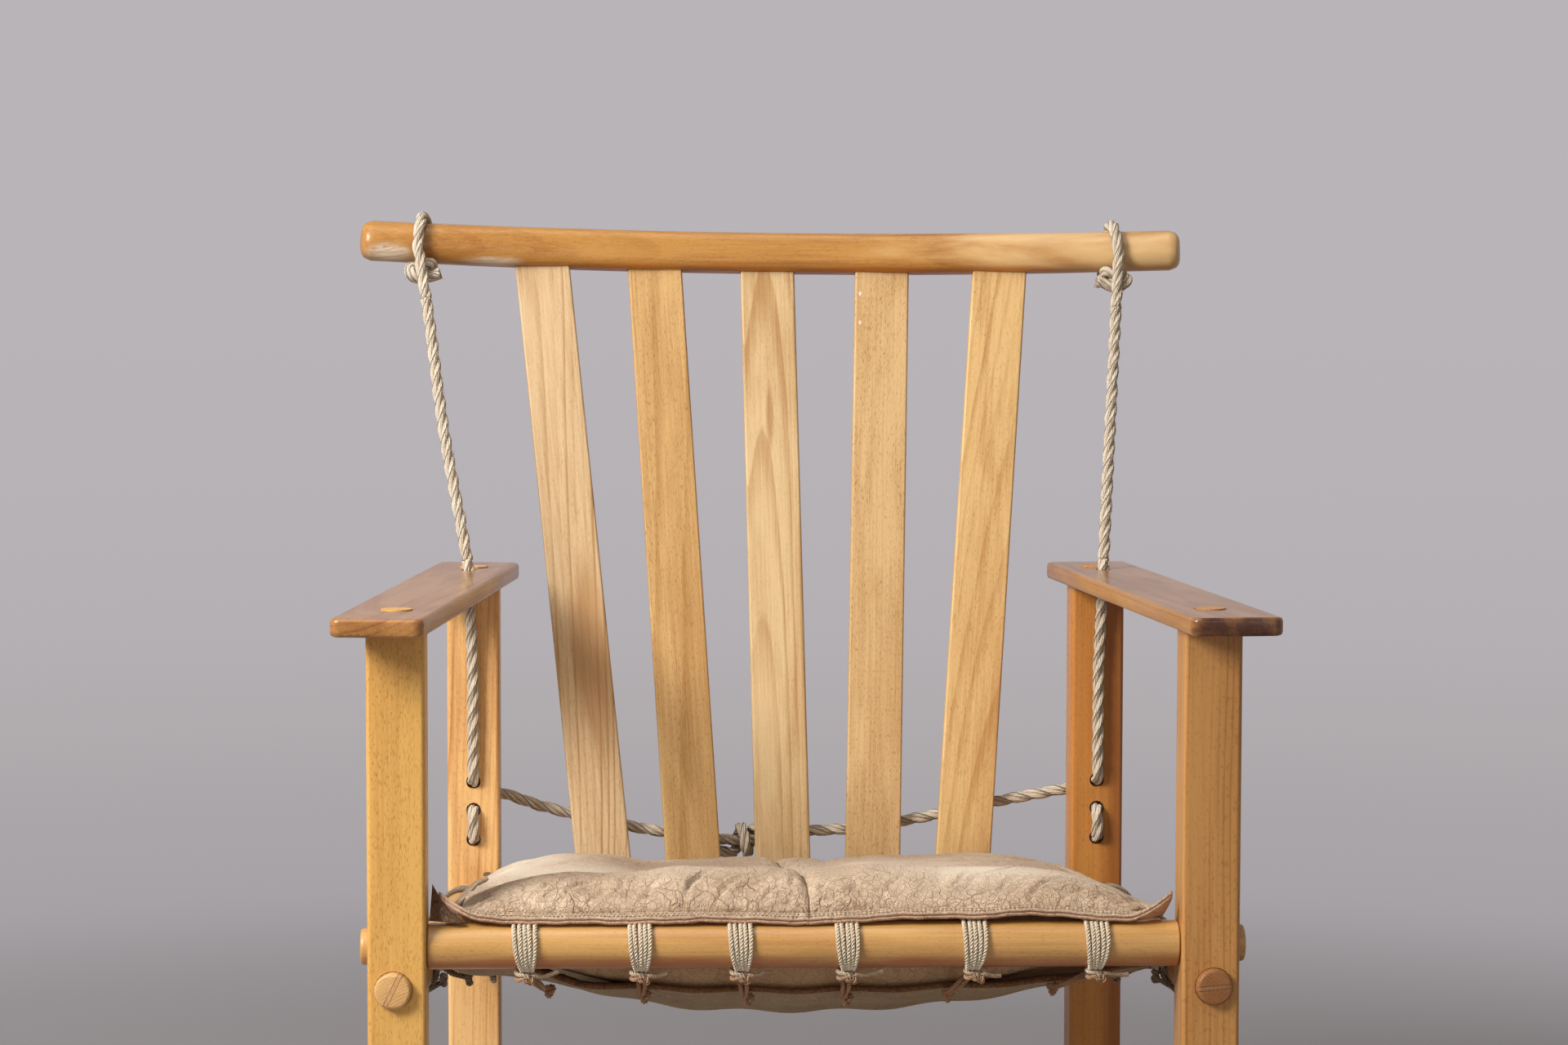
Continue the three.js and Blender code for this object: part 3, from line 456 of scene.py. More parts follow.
def beech(name, along, across, centre, pith, spacing, light, dark, fleck=0.5, late=0.5, cloud=0.5, rough=0.42,
          coat=0.0, coat_rough=0.12, seed=0.0, stains=()):
    """Beech with rings round a pith off to one side, rays seen as short flecks, and soft clouds of colour.
    along, across and centre are in the chair frame; pith is its distance across and in depth in metres, and
    its drift along the part, in metres a metre. Stains and patches of painted shade are each given as a place
    and size, a colour, a strength and how far the grain breaks them up."""
    n = Nodes(name)
    along = Vector(along).normalized()
    across = (Vector(across) - Vector(across).project(along)).normalized()
    turn = Matrix((across, along.cross(across), along))
    place = n.mapped(n.place, Rotation=turn.to_euler(), Location=-(turn @ Vector(row(centre))))
    moved = n.vector("ADD", place, (seed * 1.7, seed * 0.9, seed * 3.1))

    def grain(kind, **settings):
        wide, long = WOOD_GRAIN[kind]
        return n.noise(n.vector("MULTIPLY", moved, (wide, wide, long)), **settings)

    x, y, z = n.parts(place)
    far_x = x - pith[0] + (grain("wave", detail=1) * 0.022 - 0.011) - z * pith[2]
    far_y = y - pith[1] - z * pith[3]
    radius = n.math("SQRT", far_x * far_x + far_y * far_y) + grain("fine", detail=2) * 0.0016
    count = n.noise(n.joined(radius * 55, seed, 0.5), detail=1) * 1.6 + radius / spacing
    ring = n.math("FRACT", count)
    per_ring = n.noise(n.joined(n.math("FLOOR", count), 0.3 + seed, 0.1), scale=7.3, detail=0)
    late_wood = n.ranged(ring, 0.5, 0.92) * n.ranged(ring, 1.0, 0.94)
    late_wood = late_wood * n.ranged(per_ring, 0.3, 0.7, 0.25, 1.0)
    clouds = grain("cloud", detail=3, warp=0.6)
    fibres = grain("fibre", detail=2, rough=0.6)
    streaks = grain("streak", detail=3, rough=0.65)
    share = late_wood * late + (streaks - 0.5) * 1.3 + n.ranged(clouds, 0.32, 0.68) * cloud
    share = share + (fibres - 0.5) * 0.5
    color = n.mix(share, light, dark)
    angle = n.math("ARCTAN2", far_y, far_x)
    round_pith, outward, lengthwise = RAY_CELLS
    rays = n.joined(angle * (math.hypot(pith[0], pith[1]) * round_pith), radius * outward, z * lengthwise)
    flecks = n.ranged(n.noise(rays, detail=1, rough=0.4), 0.575, 0.69) * n.ranged(clouds, 0.25, 0.6, 0.5, 1.0)
    color = n.mix(flecks * fleck, color, (dark[0] * 0.62, dark[1] * 0.5, dark[2] * 0.4))
    # Stains, and patches of painted shade, mixed over the wood's colour
    for spot, size, tone, strength, broken in stains:
        near = n.mapped(n.vector("SUBTRACT", n.place, tuple(row(spot))), Rotation=turn.to_euler())
        gap = n.length(n.vector("DIVIDE", near, tuple(s / 1000 for s in size))) + (clouds - 0.5) * 1.6
        patchy = n.ranged(gap, 1.1, 0.3, 0, strength) * n.ranged(streaks, 0.3, 0.6, 1 - broken, 1.0)
        color = n.mix(patchy, color, tone)
    normal = n.bump(flecks * -0.5 + fibres, 0.00012, 0.5)
    return n.done(color, clouds * 0.16 + (rough - 0.08), Normal=normal, Coat_Weight=coat,
                  Coat_Roughness=coat_rough, Specular_IOR_Level=0.35)


def smoothing_group():
    """Merges a CAD node's facets and shades them smoothly, but for its real edges."""
    group = bpy.data.node_groups.new("smooth_by_angle", "GeometryNodeTree")
    group.interface.new_socket("Geometry", in_out="INPUT", socket_type="NodeSocketGeometry")
    group.interface.new_socket("Geometry", in_out="OUTPUT", socket_type="NodeSocketGeometry")
    new, link = group.nodes.new, group.links.new
    start, end = new("NodeGroupInput"), new("NodeGroupOutput")
    merge, normal = new("GeometryNodeMergeByDistance"), new("GeometryNodeSetMeshNormal")
    merge.inputs["Distance"].default_value = MERGE_DISTANCE
    angle, compare = new("GeometryNodeInputMeshEdgeAngle"), new("FunctionNodeCompare")
    compare.operation = "GREATER_THAN"
    compare.inputs[1].default_value = math.radians(SMOOTH_DEGREES)
    link(start.outputs[0], merge.inputs["Geometry"])
    link(merge.outputs[0], normal.inputs["Mesh"])
    link(angle.outputs["Unsigned Angle"], compare.inputs[0])
    link(compare.outputs[0], normal.inputs["Edge Sharpness"])
    normal.inputs["Remove Custom"].default_value = True
    link(normal.outputs[0], end.inputs[0])
    return group


SMOOTHING = smoothing_group()


def dress(name, along, across, centre, **look):
    """Gives a CAD node its own cut of beech."""
    material = beech(f"beech_{name}", along, across, centre, **look)
    for slot in NODES[name].material_slots:
        slot.material = material
    modifier = NODES[name].modifiers.new("smooth", "NODES")
    modifier.node_group = SMOOTHING
    weighted = NODES[name].modifiers.new("weighted", "WEIGHTED_NORMAL")
    weighted.mode = "FACE_AREA"
    weighted.keep_sharp = True


def tones(light, dark):
    return {"light": light, "dark": dark}


POST_MIDDLE = 300
POSTS = {
    "front_post_left": dict(
        pith=(0.01, 0.16, 0.01, 0.0), spacing=0.009, **tones((0.74, 0.413, 0.11), (0.52, 0.24, 0.0525)),
        fleck=0.5, late=0.12, cloud=0.35, seed=1.0, coat=0.15),
    # Darker than the left post: the wood's own tone with painted shade for the weaker light on the right
    "front_post_right": dict(
        pith=(-0.17, 0.03, 0.0, 0.0), spacing=0.0044, **tones((0.54, 0.266, 0.08), (0.36, 0.146, 0.032)),
        fleck=0.3, late=0.6, cloud=0.35, seed=2.0, coat=0.15),
    "rear_post_left": dict(
        pith=(0.09, 0.05, 0.03, 0.0), spacing=0.005, **tones((0.88, 0.53, 0.215), (0.57, 0.265, 0.085)),
        fleck=0.3, late=0.6, cloud=0.5, seed=3.0, coat=0.1),
    "rear_post_right": dict(
        pith=(0.0, 0.15, 0.0, 0.0), spacing=0.008, **tones((0.63, 0.27, 0.062), (0.42, 0.15, 0.028)),
        fleck=0.4, late=0.2, cloud=0.45, seed=4.0, coat=0.1,
        # Painted shade over the right part of this post's front face
        stains=[((286, 364, 480), (20, 60, 700), (0.26, 0.065, 0.012), 0.7, 0.1)]),
}
ARM = dict(spacing=0.006, **tones((0.43, 0.20, 0.055), (0.25, 0.09, 0.018)), fleck=0.4, late=0.5, cloud=0.6,
           rough=0.34, coat=0.45)
# Dark front ends of the armrests: a little darker end grain on both, and painted shade on the right one; size,
# then tone, and its strength on each side
ARM_END_GRAIN_AND_SHADE = ((70, 22, 14), (0.05, 0.008, 0.001))
ARM_END_GRAIN_AND_SHADE_STRENGTH = {"left": 0.1, "right": 0.97}
SIDE_RAIL = dict(spacing=0.0024, fleck=0.2, late=0.7, cloud=0.3)
# The right side rail's tones are darker than the left's as painted shade
SIDE_RAIL_TONES = {
    "left": tones((0.68, 0.41, 0.165), (0.47, 0.24, 0.08)),
    "right": tones((0.35, 0.15, 0.05), (0.21, 0.08, 0.022)),
}
CROSS_RAIL = dict(
    pith=(0.07, 0.11, 0.0, 0.0), spacing=0.006, **tones((0.60, 0.335, 0.102), (0.435, 0.195, 0.043)),
    fleck=0.35, late=0.25, cloud=0.4, rough=0.38, coat=0.7, coat_rough=0.32)
# Painted shade along the underside of the front and rear rails
CROSS_RAIL_SHADE = ((13, 60, 900), (0.40, 0.115, 0.012), 0.95, 0.2)
WEDGE = dict(pith=(0.04, 0.05, 0, 0), spacing=0.003, fleck=0.2, late=0.6, seed=20.0)
WEDGE_TONES = tones((0.60, 0.33, 0.14), (0.42, 0.2, 0.075))
# Darker tones for the right side rail's wedges: painted shade
DEEP_WEDGE_TONES = tones((0.36, 0.17, 0.075), (0.24, 0.10, 0.04))
SCUFF = (0.84, 0.72, 0.56)
CREST_LOOK = dict(
    pith=(0.02, 0.13, 0.01, 0.01), spacing=0.008, **tones((0.50, 0.243, 0.056), (0.31, 0.112, 0.018)),
    fleck=0.4, late=0.4, cloud=0.5, rough=0.38, coat=0.2, seed=13.0,
    stains=[
        ((-338, 464, 910), (10, 30, 24), (0.86, 0.76, 0.62), 0.85, 0.95),
        ((-250, 478, 901), (6, 30, 30), SCUFF, 0.85, 0.95),
        ((300, 485, 912), (40, 60, 190), (0.74, 0.50, 0.24), 0.85, 0.1),
        # Painted shade along the crest's lower edge
        ((0, 500, 887), (16, 70, 900), (0.56, 0.165, 0.012), 0.85, 0.2),
    ])
CHIP = (0.95, 0.88, 0.76)
SLATS = [
    dict(pith=(-0.05, 0.05, 0.11, 0.01), spacing=0.0042, **tones((0.665, 0.468, 0.265), (0.41, 0.225, 0.085)),
         late=1.0, cloud=0.3, fleck=0.25,
         stains=[
             # A darker brown patch on the lower half of the first slat
             ((-166, 420, 560), (22, 40, 110), (0.40, 0.19, 0.06), 0.75, 0.2),
             ((-217, 494, 866), (2.4, 9, 3), (0.24, 0.11, 0.04), 0.9, 0.0),
             ((-189.5, 468, 741.5), (2.4, 9, 4), (0.26, 0.12, 0.04), 0.9, 0.0),
         ]),
    dict(pith=(0.03, 0.14, 0.05, 0.0), spacing=0.006, **tones((0.64, 0.395, 0.16), (0.40, 0.198, 0.055)),
         late=0.4, cloud=0.5, fleck=0.5),
    dict(pith=(-0.012, 0.045, 0.035, 0.03), spacing=0.0042, **tones((0.70, 0.50, 0.265), (0.44, 0.238, 0.085)),
         late=0.6, cloud=0.5, fleck=0.25,
         stains=[((-10.6, 474, 772), (3.5, 12, 34), (0.36, 0.17, 0.055), 0.7, 0.1)]),
    dict(pith=(0.0, 0.2, 0.0, 0.01), spacing=0.015, **tones((0.69, 0.455, 0.215), (0.45, 0.238, 0.08)),
         late=0.25, cloud=0.5, fleck=0.6,
         stains=[
             ((68.6, 496, 874), (1.8, 9, 3), CHIP, 0.9, 0.0),
             ((68.4, 491, 849), (1.8, 9, 3), CHIP, 0.9, 0.0),
         ]),
    dict(pith=(0.04, 0.09, 0.045, 0.02), spacing=0.0052, **tones((0.75, 0.485, 0.205), (0.48, 0.24, 0.075)),
         late=0.5, cloud=0.5, fleck=0.4),
]
SLAT_HEAD_SHARES, SLAT_HEAD_SPAN = (-0.5, -0.255, -0.0085, 0.243, 0.5), 401


def dress_wood():
    for name, look in POSTS.items():
        spread, y = (FRONT, 0) if name.startswith("front") else (REAR, DEPTH)
        dress(name, UP, RIGHT, (-spread if name.endswith("left") else spread, y, POST_MIDDLE), **look)
    for side, word in SIDES:
        along = (-side * math.sin(TOE), math.cos(TOE), 0)
        spot = ((side * 311, -78, 637), *ARM_END_GRAIN_AND_SHADE, ARM_END_GRAIN_AND_SHADE_STRENGTH[word], 0.1)
        dress(f"armrest_{word}", along, RIGHT, (side * 309, 150, 637), pith=(0.02 * side, -0.12, 0.02, 0.01),
              seed=5.0 + side, stains=[spot], **ARM)
        dress(f"side_rail_{word}", along, RIGHT, (side * (FRONT + REAR) / 2, DEPTH / 2, 360),
              pith=(0.05, -0.08 * side, 0.0, 0.0), seed=8.0 + side, **SIDE_RAIL, **SIDE_RAIL_TONES[word])
    for word, y, seed in (("front", 0, 11.0), ("rear", DEPTH, 12.0)):
        shade = ((0, y, RAILS[word] - 17), *CROSS_RAIL_SHADE)
        dress(f"{word}_rail", RIGHT, UP, (0, y, RAILS[word]), seed=seed, stains=[shade], **CROSS_RAIL)
    for name in [name for name in NODES if "_wedge_" in name]:
        tone = DEEP_WEDGE_TONES if name.startswith("side_rail_right") else WEDGE_TONES
        dress(name, BACK if "side" in name else RIGHT, UP, (0, 0, 360), **WEDGE, **tone)
    dress("crest_rail", RIGHT, UP, tuple(from_back((0, 0, CREST["rise"]))), **CREST_LOOK)
    for i, (look, share) in enumerate(zip(SLATS, SLAT_HEAD_SHARES)):
        foot = from_back(np.array([(i - 2) * SLAT_SPACING, 0, 0]))
        head = from_back(np.array([share * SLAT_HEAD_SPAN + CREST["sway"], 0, CREST["rise"]]))
        middle = tuple((head + foot) / 2)
        dress(f"slat_{i + 1}", tuple(head - foot), RIGHT, middle, seed=30.0 + i, rough=0.45, **look)


dress_wood()

# Rope and cord looks

YARNS = 11
SOIL_AND_SHADE = (0.44, 0.22, 0.085)


def rope_material(name, light, dark, size, pitch, rough=0.85, groove_shade=0.7, soiled_and_shaded_below=None):
    """Twisted plant fibre: fine yarns along each strand, darker between them, painted shade in the grooves
    between the strands, and loose hairs in the bump.
    """
    n = Nodes(name)
    girth, along, number = n.parts(n.attribute("lay"))
    slant = along * (1 / (pitch * size)) + girth
    yarns = n.noise(n.joined(slant * (2 * YARNS), along * (0.9 / size), number), detail=3, rough=0.65)
    lines = n.math("SINE", yarns * 4.0 + slant * (FULL_TURN * YARNS))
    blotch = n.noise(n.place, scale=0.6 / size, detail=3, rough=0.6)
    share = lines * 0.2 + (n.ranged(yarns, 0.25, 0.8) + (blotch * 0.7 - 0.35))
    outward = n.math("COSINE", girth * FULL_TURN)
    color = n.mix(share, dark, light)
    # Painted shade: each strand darkens on its inner side, in the grooves between the strands
    color = n.mix(n.ranged(outward, 0.45, -0.35) * groove_shade, color, [c * 0.5 for c in dark])
    # Browner low on the cord, at the knots and the tails: partly dirt, partly painted shade
    if soiled_and_shaded_below:
        low = blotch * 0.008 + n.parts(n.place)[2]
        soil_and_shade = n.ranged(low, soiled_and_shaded_below + 0.006, soiled_and_shaded_below - 0.004, 0.0, 0.9)
        color = n.mix(soil_and_shade, color, SOIL_AND_SHADE, "MULTIPLY")
    normal = n.bump(lines * 0.4 + yarns, size * 0.06, 0.9)
    return n.done(color, rough, Normal=normal, Specular_IOR_Level=0.25, Sheen_Weight=0.25, Sheen_Roughness=0.6)


ROPE_LOOK = rope_material("hemp_rope", (0.86, 0.77, 0.63), (0.56, 0.43, 0.29), ROPE / 1000, ROPE_LAY["pitch"])
CORD_LOOK = rope_material("waxed_cord", (1.0, 0.92, 0.74), (1.0, 0.79, 0.54), CORD / 1000, CORD_LAY["pitch"],
                          rough=0.65, groove_shade=0.35, soiled_and_shaded_below=0.372)
# A darker copy of the cord for the hidden lashings: painted shade
SHADE_CORD_LOOK = rope_material("shaded_cord", (0.50, 0.38, 0.24), (0.26, 0.17, 0.09), CORD / 1000,
                                CORD_LAY["pitch"])
THREAD_LOOK = rope_material("thread", (0.80, 0.64, 0.46), (0.52, 0.34, 0.2), 0.001, 4.0)

# Rope routes: a hitch round the crest, a stay down to the armrest, a lower run laced through the rear post

HOLES = [464.5, 440.5, 415.5]
ROPE_FRONT = DEPTH - POST / 2 - ROPE / 2 - SEAT_GAP
ROPE_REAR = DEPTH + POST / 2 + ROPE / 2 + SEAT_GAP
ARM_HOLE = (REAR + 3, ROPE_FRONT - 2.5)
ARM_GRIP = 8
LACING_TOP, LACING_ASIDE = 560, 13
HITCH_SHARES = {"left": -0.861, "right": 0.846}
HITCH_START, HITCH_TURN, HITCH_LENGTH, HITCH_STEPS = math.radians(-15), math.radians(285), 50, 13
HITCH_TUCK = [
    (1, -0.75, 0.55), (1.05, -1.35, 0.15), (0.62, -1.26, 0.28), (0, -1.13, 0.57), (-0.48, -1.25, 0.57),
    (-0.68, -1.6, 0.92), (-0.52, -1.7, 1.32), (-0.2, -1.45, 1.48), (0.25, -1.35, 1.56), (0.9, -1.5, 1.32),
    (1.7, -1.75, 1.12),
]
BEHIND = {
    "left": [(-0.913, 3.05, -1.7), (-0.803, 3.35, -2.77), (-0.693, 3.38, -3.55), (-0.5, 3.25, -4.65),
             (-0.39, 3.2, -5.13), (-0.25, 3.4, -5.6), (-0.2, 3.86, -5.95), (-0.071, 3.86, -5.95)],
    "right": [(0.913, 3.15, -1.52), (0.697, 3.46, -2.6), (0.5, 3.36, -3.72), (0.39, 3.26, -4.25),
              (0.2, 3.25, -4.95), (0.083, 3.25, -5.1)],
}
KNOT, KNOT_STEPS, KNOT_TURNS = (-0.132, 3.86, -5.95), 18, 1.5
KNOT_TAIL = [(-2.2, 0.3, -1), (-3.8, 0.1, -0.9)]
STAY_BOW, STAY_POINTS = {"left": 2.5, "right": 0.0}, 30


def behind(shares):
    """A place behind the slats: across as a share of the rear posts' spread, then to the rear of the posts and
    above the top hole in rope widths."""
    across, back, up = shares
    return np.array([across * REAR, DEPTH + back * ROPE, HOLES[0] + up * ROPE])


def bent(corners, steps=6):
    """A route with its corners rounded; each corner is (point, bend)."""
    points = [np.asarray(corners[0][0], float)]
    for i in range(1, len(corners) - 1):
        before, corner, after = (np.asarray(corners[k][0], float) for k in (i - 1, i, i + 1))
        back, on = before - corner, after - corner
        room = min(np.linalg.norm(back), np.linalg.norm(on)) / 2
        back, on = back / np.linalg.norm(back), on / np.linalg.norm(on)
        turn = math.pi - math.acos(max(-1, min(1, back @ on)))
        if turn < 1e-3:
            continue
        radius = min(corners[i][1], room / math.tan(turn / 2))
        reach = radius * math.tan(turn / 2)
        start, end = corner + back * reach, corner + on * reach
        middle = (back + on) / np.linalg.norm(back + on)
        centre = corner + middle * radius / math.cos(turn / 2)
        for k in range(steps + 1):
            a, b = (math.sin(turn * share) / math.sin(turn) for share in (1 - k / steps, k / steps))
            points.append(centre + (start - centre) * a + (end - centre) * b)
    points.append(np.asarray(corners[-1][0], float))
    return np.array(points)


def on_crest(share):
    x, y = share * CREST["length"] / 2, -CREST["bow"] * share * share
    c, s = math.cos(CREST["tilt"]), math.sin(CREST["tilt"])
    return np.array([x * c + CREST["sway"], y, -x * s + CREST["rise"]])


def crest_half(share):
    """Half the crest's depth and half its height; the depth nears the height towards its round ends."""
    flat = 1 - float(smoothstep(abs(share), 0.45, 0.95))
    thin = (CREST["height"] - CREST["depth"]) * (0.35 + 0.65 * flat)
    return (CREST["height"] - thin) / 2, CREST["height"] / 2


def hitch_route(share):
    """In the frame of the back: up the front of the crest, round it, and tucked behind its standing part."""
    inward = -math.copysign(1, share)
    depth, height = crest_half(share)
    away = ROPE / 2 + 4 * SEAT_GAP
    pitch = ROPE + 2 * SOFT_GAP

    def beside(turns):
        return on_crest(share + inward * 2 * pitch * turns / CREST["length"])

    loop = []
    for i in range(HITCH_STEPS + 1):
        turn = HITCH_START + HITCH_TURN * i / HITCH_STEPS
        rounded = [0, -(depth + away) * math.cos(turn), (height + away) * math.sin(turn)]
        loop.append(beside(i / HITCH_STEPS) + rounded)
    tuck = [beside(x) + [0, y * pitch, -height - z * pitch] for x, y, z in HITCH_TUCK]
    x, y, z = np.array([-inward * ARM_HOLE[0], ARM_HOLE[1], ARM_TOP]) - PIVOT
    c, s = math.cos(LEAN), math.sin(LEAN)
    hole = np.array([x, y * c - z * s, y * s + z * c])
    fall = (hole - loop[0]) / np.linalg.norm(hole - loop[0])
    return np.array([loop[0] + fall * HITCH_LENGTH, *loop, *tuck])


def stay_line(side):
    """The rope's taut stretch: its ends at the armrest and the hitch, and its direction."""
    start = np.array([side * ARM_HOLE[0], ARM_HOLE[1], ARM_TOP])
    end = from_back(hitch_route(HITCH_SHARES["left" if side < 0 else "right"])[0])
    return start, end, (end - start) / np.linalg.norm(end - start)


def laced_run(side):
    """Corners and bends from the armrest through the rear post's three holes."""
    high, middle, low = HOLES
    x, aside = side * REAR, side * (REAR + LACING_ASIDE)
    stitch = (high - middle) / 2
    start, _, way = stay_line(side)
    return [
        (start + way * ARM_GRIP, 0), (start, 12), ((x, ROPE_FRONT, LACING_TOP), 60),
        ((x, ROPE_FRONT, high), 6),
        ((x, ROPE_REAR + stitch, high), stitch), ((x, ROPE_REAR + stitch, middle), stitch),
        ((x, ROPE_FRONT, middle), 6), ((x, ROPE_FRONT, low), 6), ((x, ROPE_REAR, low), 6),
        ((aside, ROPE_REAR, middle), 12), ((aside, ROPE_REAR, high - stitch), 6),
        ((x, ROPE_REAR, high - stitch), 60),
    ]


def knot_turns():
    pitch = ROPE + 2 * SOFT_GAP
    knot = behind(KNOT)
    turns = []
    for i in range(KNOT_STEPS + 1):
        turn = math.pi / 2 - KNOT_TURNS * FULL_TURN * i / KNOT_STEPS
        drift = ROPE - pitch * KNOT_TURNS * i / KNOT_STEPS
        turns.append(knot + [drift, pitch * math.cos(turn), pitch * math.sin(turn)])
    return [*turns, *(knot + np.array(step) * ROPE for step in KNOT_TAIL)]


def make_rope(name, node, route, **look):
    rope = stranded(name, row(route), ROPE / 1000, ROPE_LAY, ROPE_LOOK, fuzz=ROPE_FUZZ, **look)
    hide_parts(node)
    return rope


def make_ropes():
    for side, word in SIDES:
        route = bent([*laced_run(side), *((behind(p), 60) for p in BEHIND[word])])
        if side > 0:
            route = np.array([*route, *knot_turns()])
        lower = make_rope(f"laced_rope_{word}", f"rope_{word}", route, phase=side, flare=0.25)
        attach(lower, "frame")
        route = from_back(hitch_route(HITCH_SHARES[word]))
        hitch = make_rope(f"hitch_{word}", f"rope_{word}_hitch", route, phase=0.4 * side, flare=0.25)
        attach(hitch, "back")
        start, end, way = stay_line(side)
        low, high = start + way * (ARM_GRIP + SEAT_GAP), end - way * SEAT_GAP
        share = np.linspace(0, 1, STAY_POINTS)
        line = low + (high - low) * share[:, None]
        line[:, 0] -= STAY_BOW[word] * (1 - np.cos(FULL_TURN * share)) / 2
        stay = make_rope(f"stay_{word}", f"rope_{word}_stay", line, phase=0.4 * side)
        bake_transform(stay)


make_ropes()

# Leather

SEAM_DRIFT = {"near": 40, "start": 2, "shift": 11, "span": 300}
WEAR_AND_PAINTED_LIGHT_TONE, SEAM_TONE = (0.88, 0.80, 0.66), (0.16, 0.08, 0.035)


def seam_line(y):
    """Where the cushion's middle seam lies across the seat."""
    return SEAM_DRIFT["start"] - SEAM_DRIFT["shift"] * (y - SEAM_DRIFT["near"]) / SEAM_DRIFT["span"]


def leather_material(name, light, dark, grain=0.0016, rough=0.62, depth=0.0005, wear_and_painted_light=False):
    """Pebbled leather: small cells parted by fine lines, wider creases and an uneven tone; darker along the
    lines and creases, partly with painted shade, and on the cushion pale patches that are partly wear and
    partly painted light.
    """
    n = Nodes(name)
    warp = n.noise(n.place, scale=140, detail=2)
    other = n.noise(n.vector("ADD", n.place, (0.3, 0.1, 0.7)), scale=60, detail=2)
    wide = n.vector("ADD", n.place, n.joined(warp * 0.004, other * 0.008, warp * 0.004))
    pebble = n.ranged(n.cell_edges(wide, 1 / grain), 0.0, 0.22)
    patch = n.noise(n.place, scale=30, detail=2)
    crackle = n.ranged(n.cell_edges(wide, 0.3 / grain), 0.0, 0.11)
    crackle = n.math("MAXIMUM", crackle, n.ranged(patch, 0.62, 0.4, 0.0, 0.35))
    tone = n.noise(n.place, scale=16, detail=4, rough=0.6)
    bent_place = n.vector("ADD", wide, n.joined(patch * 0.03, 0.0, tone * 0.02))
    slanted = n.mapped(bent_place, Rotation=(0.0, 0.75, 0.0), Scale=(1.0, 0.8, 0.45))
    folds = n.ranged(n.cell_edges(slanted, 60), 0.0, 0.05)
    folds = n.math("MAXIMUM", folds, n.ranged(n.noise(n.place, scale=22, detail=1), 0.62, 0.45, 0.0, 0.75))
    # Darker along the pebble lines, cracks and creases: partly the leather's own lines, partly painted shade
    share = n.ranged(tone, 0.3, 0.72) * 0.5 + (1.0 - crackle) * 0.5
    share = share + (1.0 - pebble) * 0.16 + (1.0 - folds) * 0.62
    color = n.mix(share, light, dark)
    height = crackle * 1.2 + pebble + folds * 1.6 + n.noise(n.place, scale=900, detail=2) * 0.4
    strength = 0.75
    if wear_and_painted_light:
        # Pale patches: partly wear, partly painted light
        patch = n.attribute("wear_and_painted_light", "Fac") * n.ranged(tone, 0.25, 0.6, 0.4, 1.0)
        color = n.mix(patch * 0.8, color, WEAR_AND_PAINTED_LIGHT_TONE)
        strength = patch * -0.55 + 0.75
        x, y, _ = n.parts(n.place)
        near, far = row([(seam_line(s), s, 0) for s in (0, SEAM_DRIFT["span"])]).tolist()
        slope = (far[0] - near[0]) / (far[1] - near[1])
        off = y * -slope + x - (near[0] - slope * near[1]) + (other * 0.0016 - 0.0008)
        off = n.math("ABSOLUTE", off)
        color = n.mix(n.ranged(off, 0.0011, 0.0005) * 0.9, color, SEAM_TONE)
        height = n.ranged(off, 0.0026, 0.0004) * -1.6 + height
    normal = n.bump(height, depth, strength)
    return n.done(color, tone * 0.2 + (rough - 0.1), Normal=normal, Specular_IOR_Level=0.35, Sheen_Weight=0.1,
                  Sheen_Roughness=0.5)


SLING_LOOK = leather_material("sling_leather", (0.43, 0.29, 0.14), (0.25, 0.15, 0.062), rough=0.8)
HEM_LOOK = leather_material("hem_leather", (0.28, 0.125, 0.038), (0.13, 0.05, 0.014), rough=0.7)
CUSHION_LOOK = leather_material("cushion_leather", (0.81, 0.62, 0.44), (0.47, 0.305, 0.185), wear_and_painted_light=True,
                                depth=0.0009)
EDGE_LOOK = leather_material("edge_leather", (0.88, 0.56, 0.37), (0.55, 0.30, 0.17), grain=0.001, rough=0.8)
LINING_LOOK = leather_material("lining_leather", (0.72, 0.46, 0.25), (0.53, 0.325, 0.165), rough=0.85)
# The left ear's dark brown is the lower leather with painted shade; the corner hole shares it
EAR_LOOK = leather_material("ear_leather", (0.22, 0.115, 0.055), (0.09, 0.04, 0.018), rough=0.38)
RAW_LOOK = leather_material("raw_edge", (0.97, 0.69, 0.48), (0.62, 0.39, 0.26), grain=0.0008, rough=0.9)

# The sling

HEM_INSET, SIDE_INSET, SLING_THICK = 28, 30, 3
EYELET_INSET = 34
EYELET_DRIFT = [18, 4, 7, 2, -17, -29]
FRONT_SHARES = [-0.69, -0.407, -0.16, 0.103, 0.418, 0.72]
OUTER_EYELETS = 300
SEAT_FRONT, SEAT_REAR = HEM_INSET, DEPTH - HEM_INSET
SLING_COLUMNS, SLING_ROWS = 150, 70
HEM = {"rows": 5, "width": 12, "ahead": 1.2, "below": 1.5, "fall": 0.6, "half": 1.9}


def rail_x(y):
    return FRONT - (FRONT - REAR) * y / DEPTH


def sling_lift(x, y):
    """How much higher the leather hangs than the even sag, most of all at its left."""
    window = smoothstep(y, 40, 110) * (1 - smoothstep(y, 290, 345))
    return window * (3.0 + 6.5 * smoothstep(-x, 90, 190) * (1 - smoothstep(-x, 225, 262)))


def sling_top(x, y):
    """Height of the sling's even sag."""
    along = (y - SEAT_FRONT) / (SEAT_REAR - SEAT_FRONT)
    across = x / (rail_x(y) - SIDE_INSET)
    belly = np.maximum(0, 1 - across * across)
    front = RAILS["front"] - 25 - 14 * belly
    rear = RAILS["rear"] - 25 - 6 * belly
    return front + (rear - front) * along - 4 * 24 * along * (1 - along) * belly ** 0.8


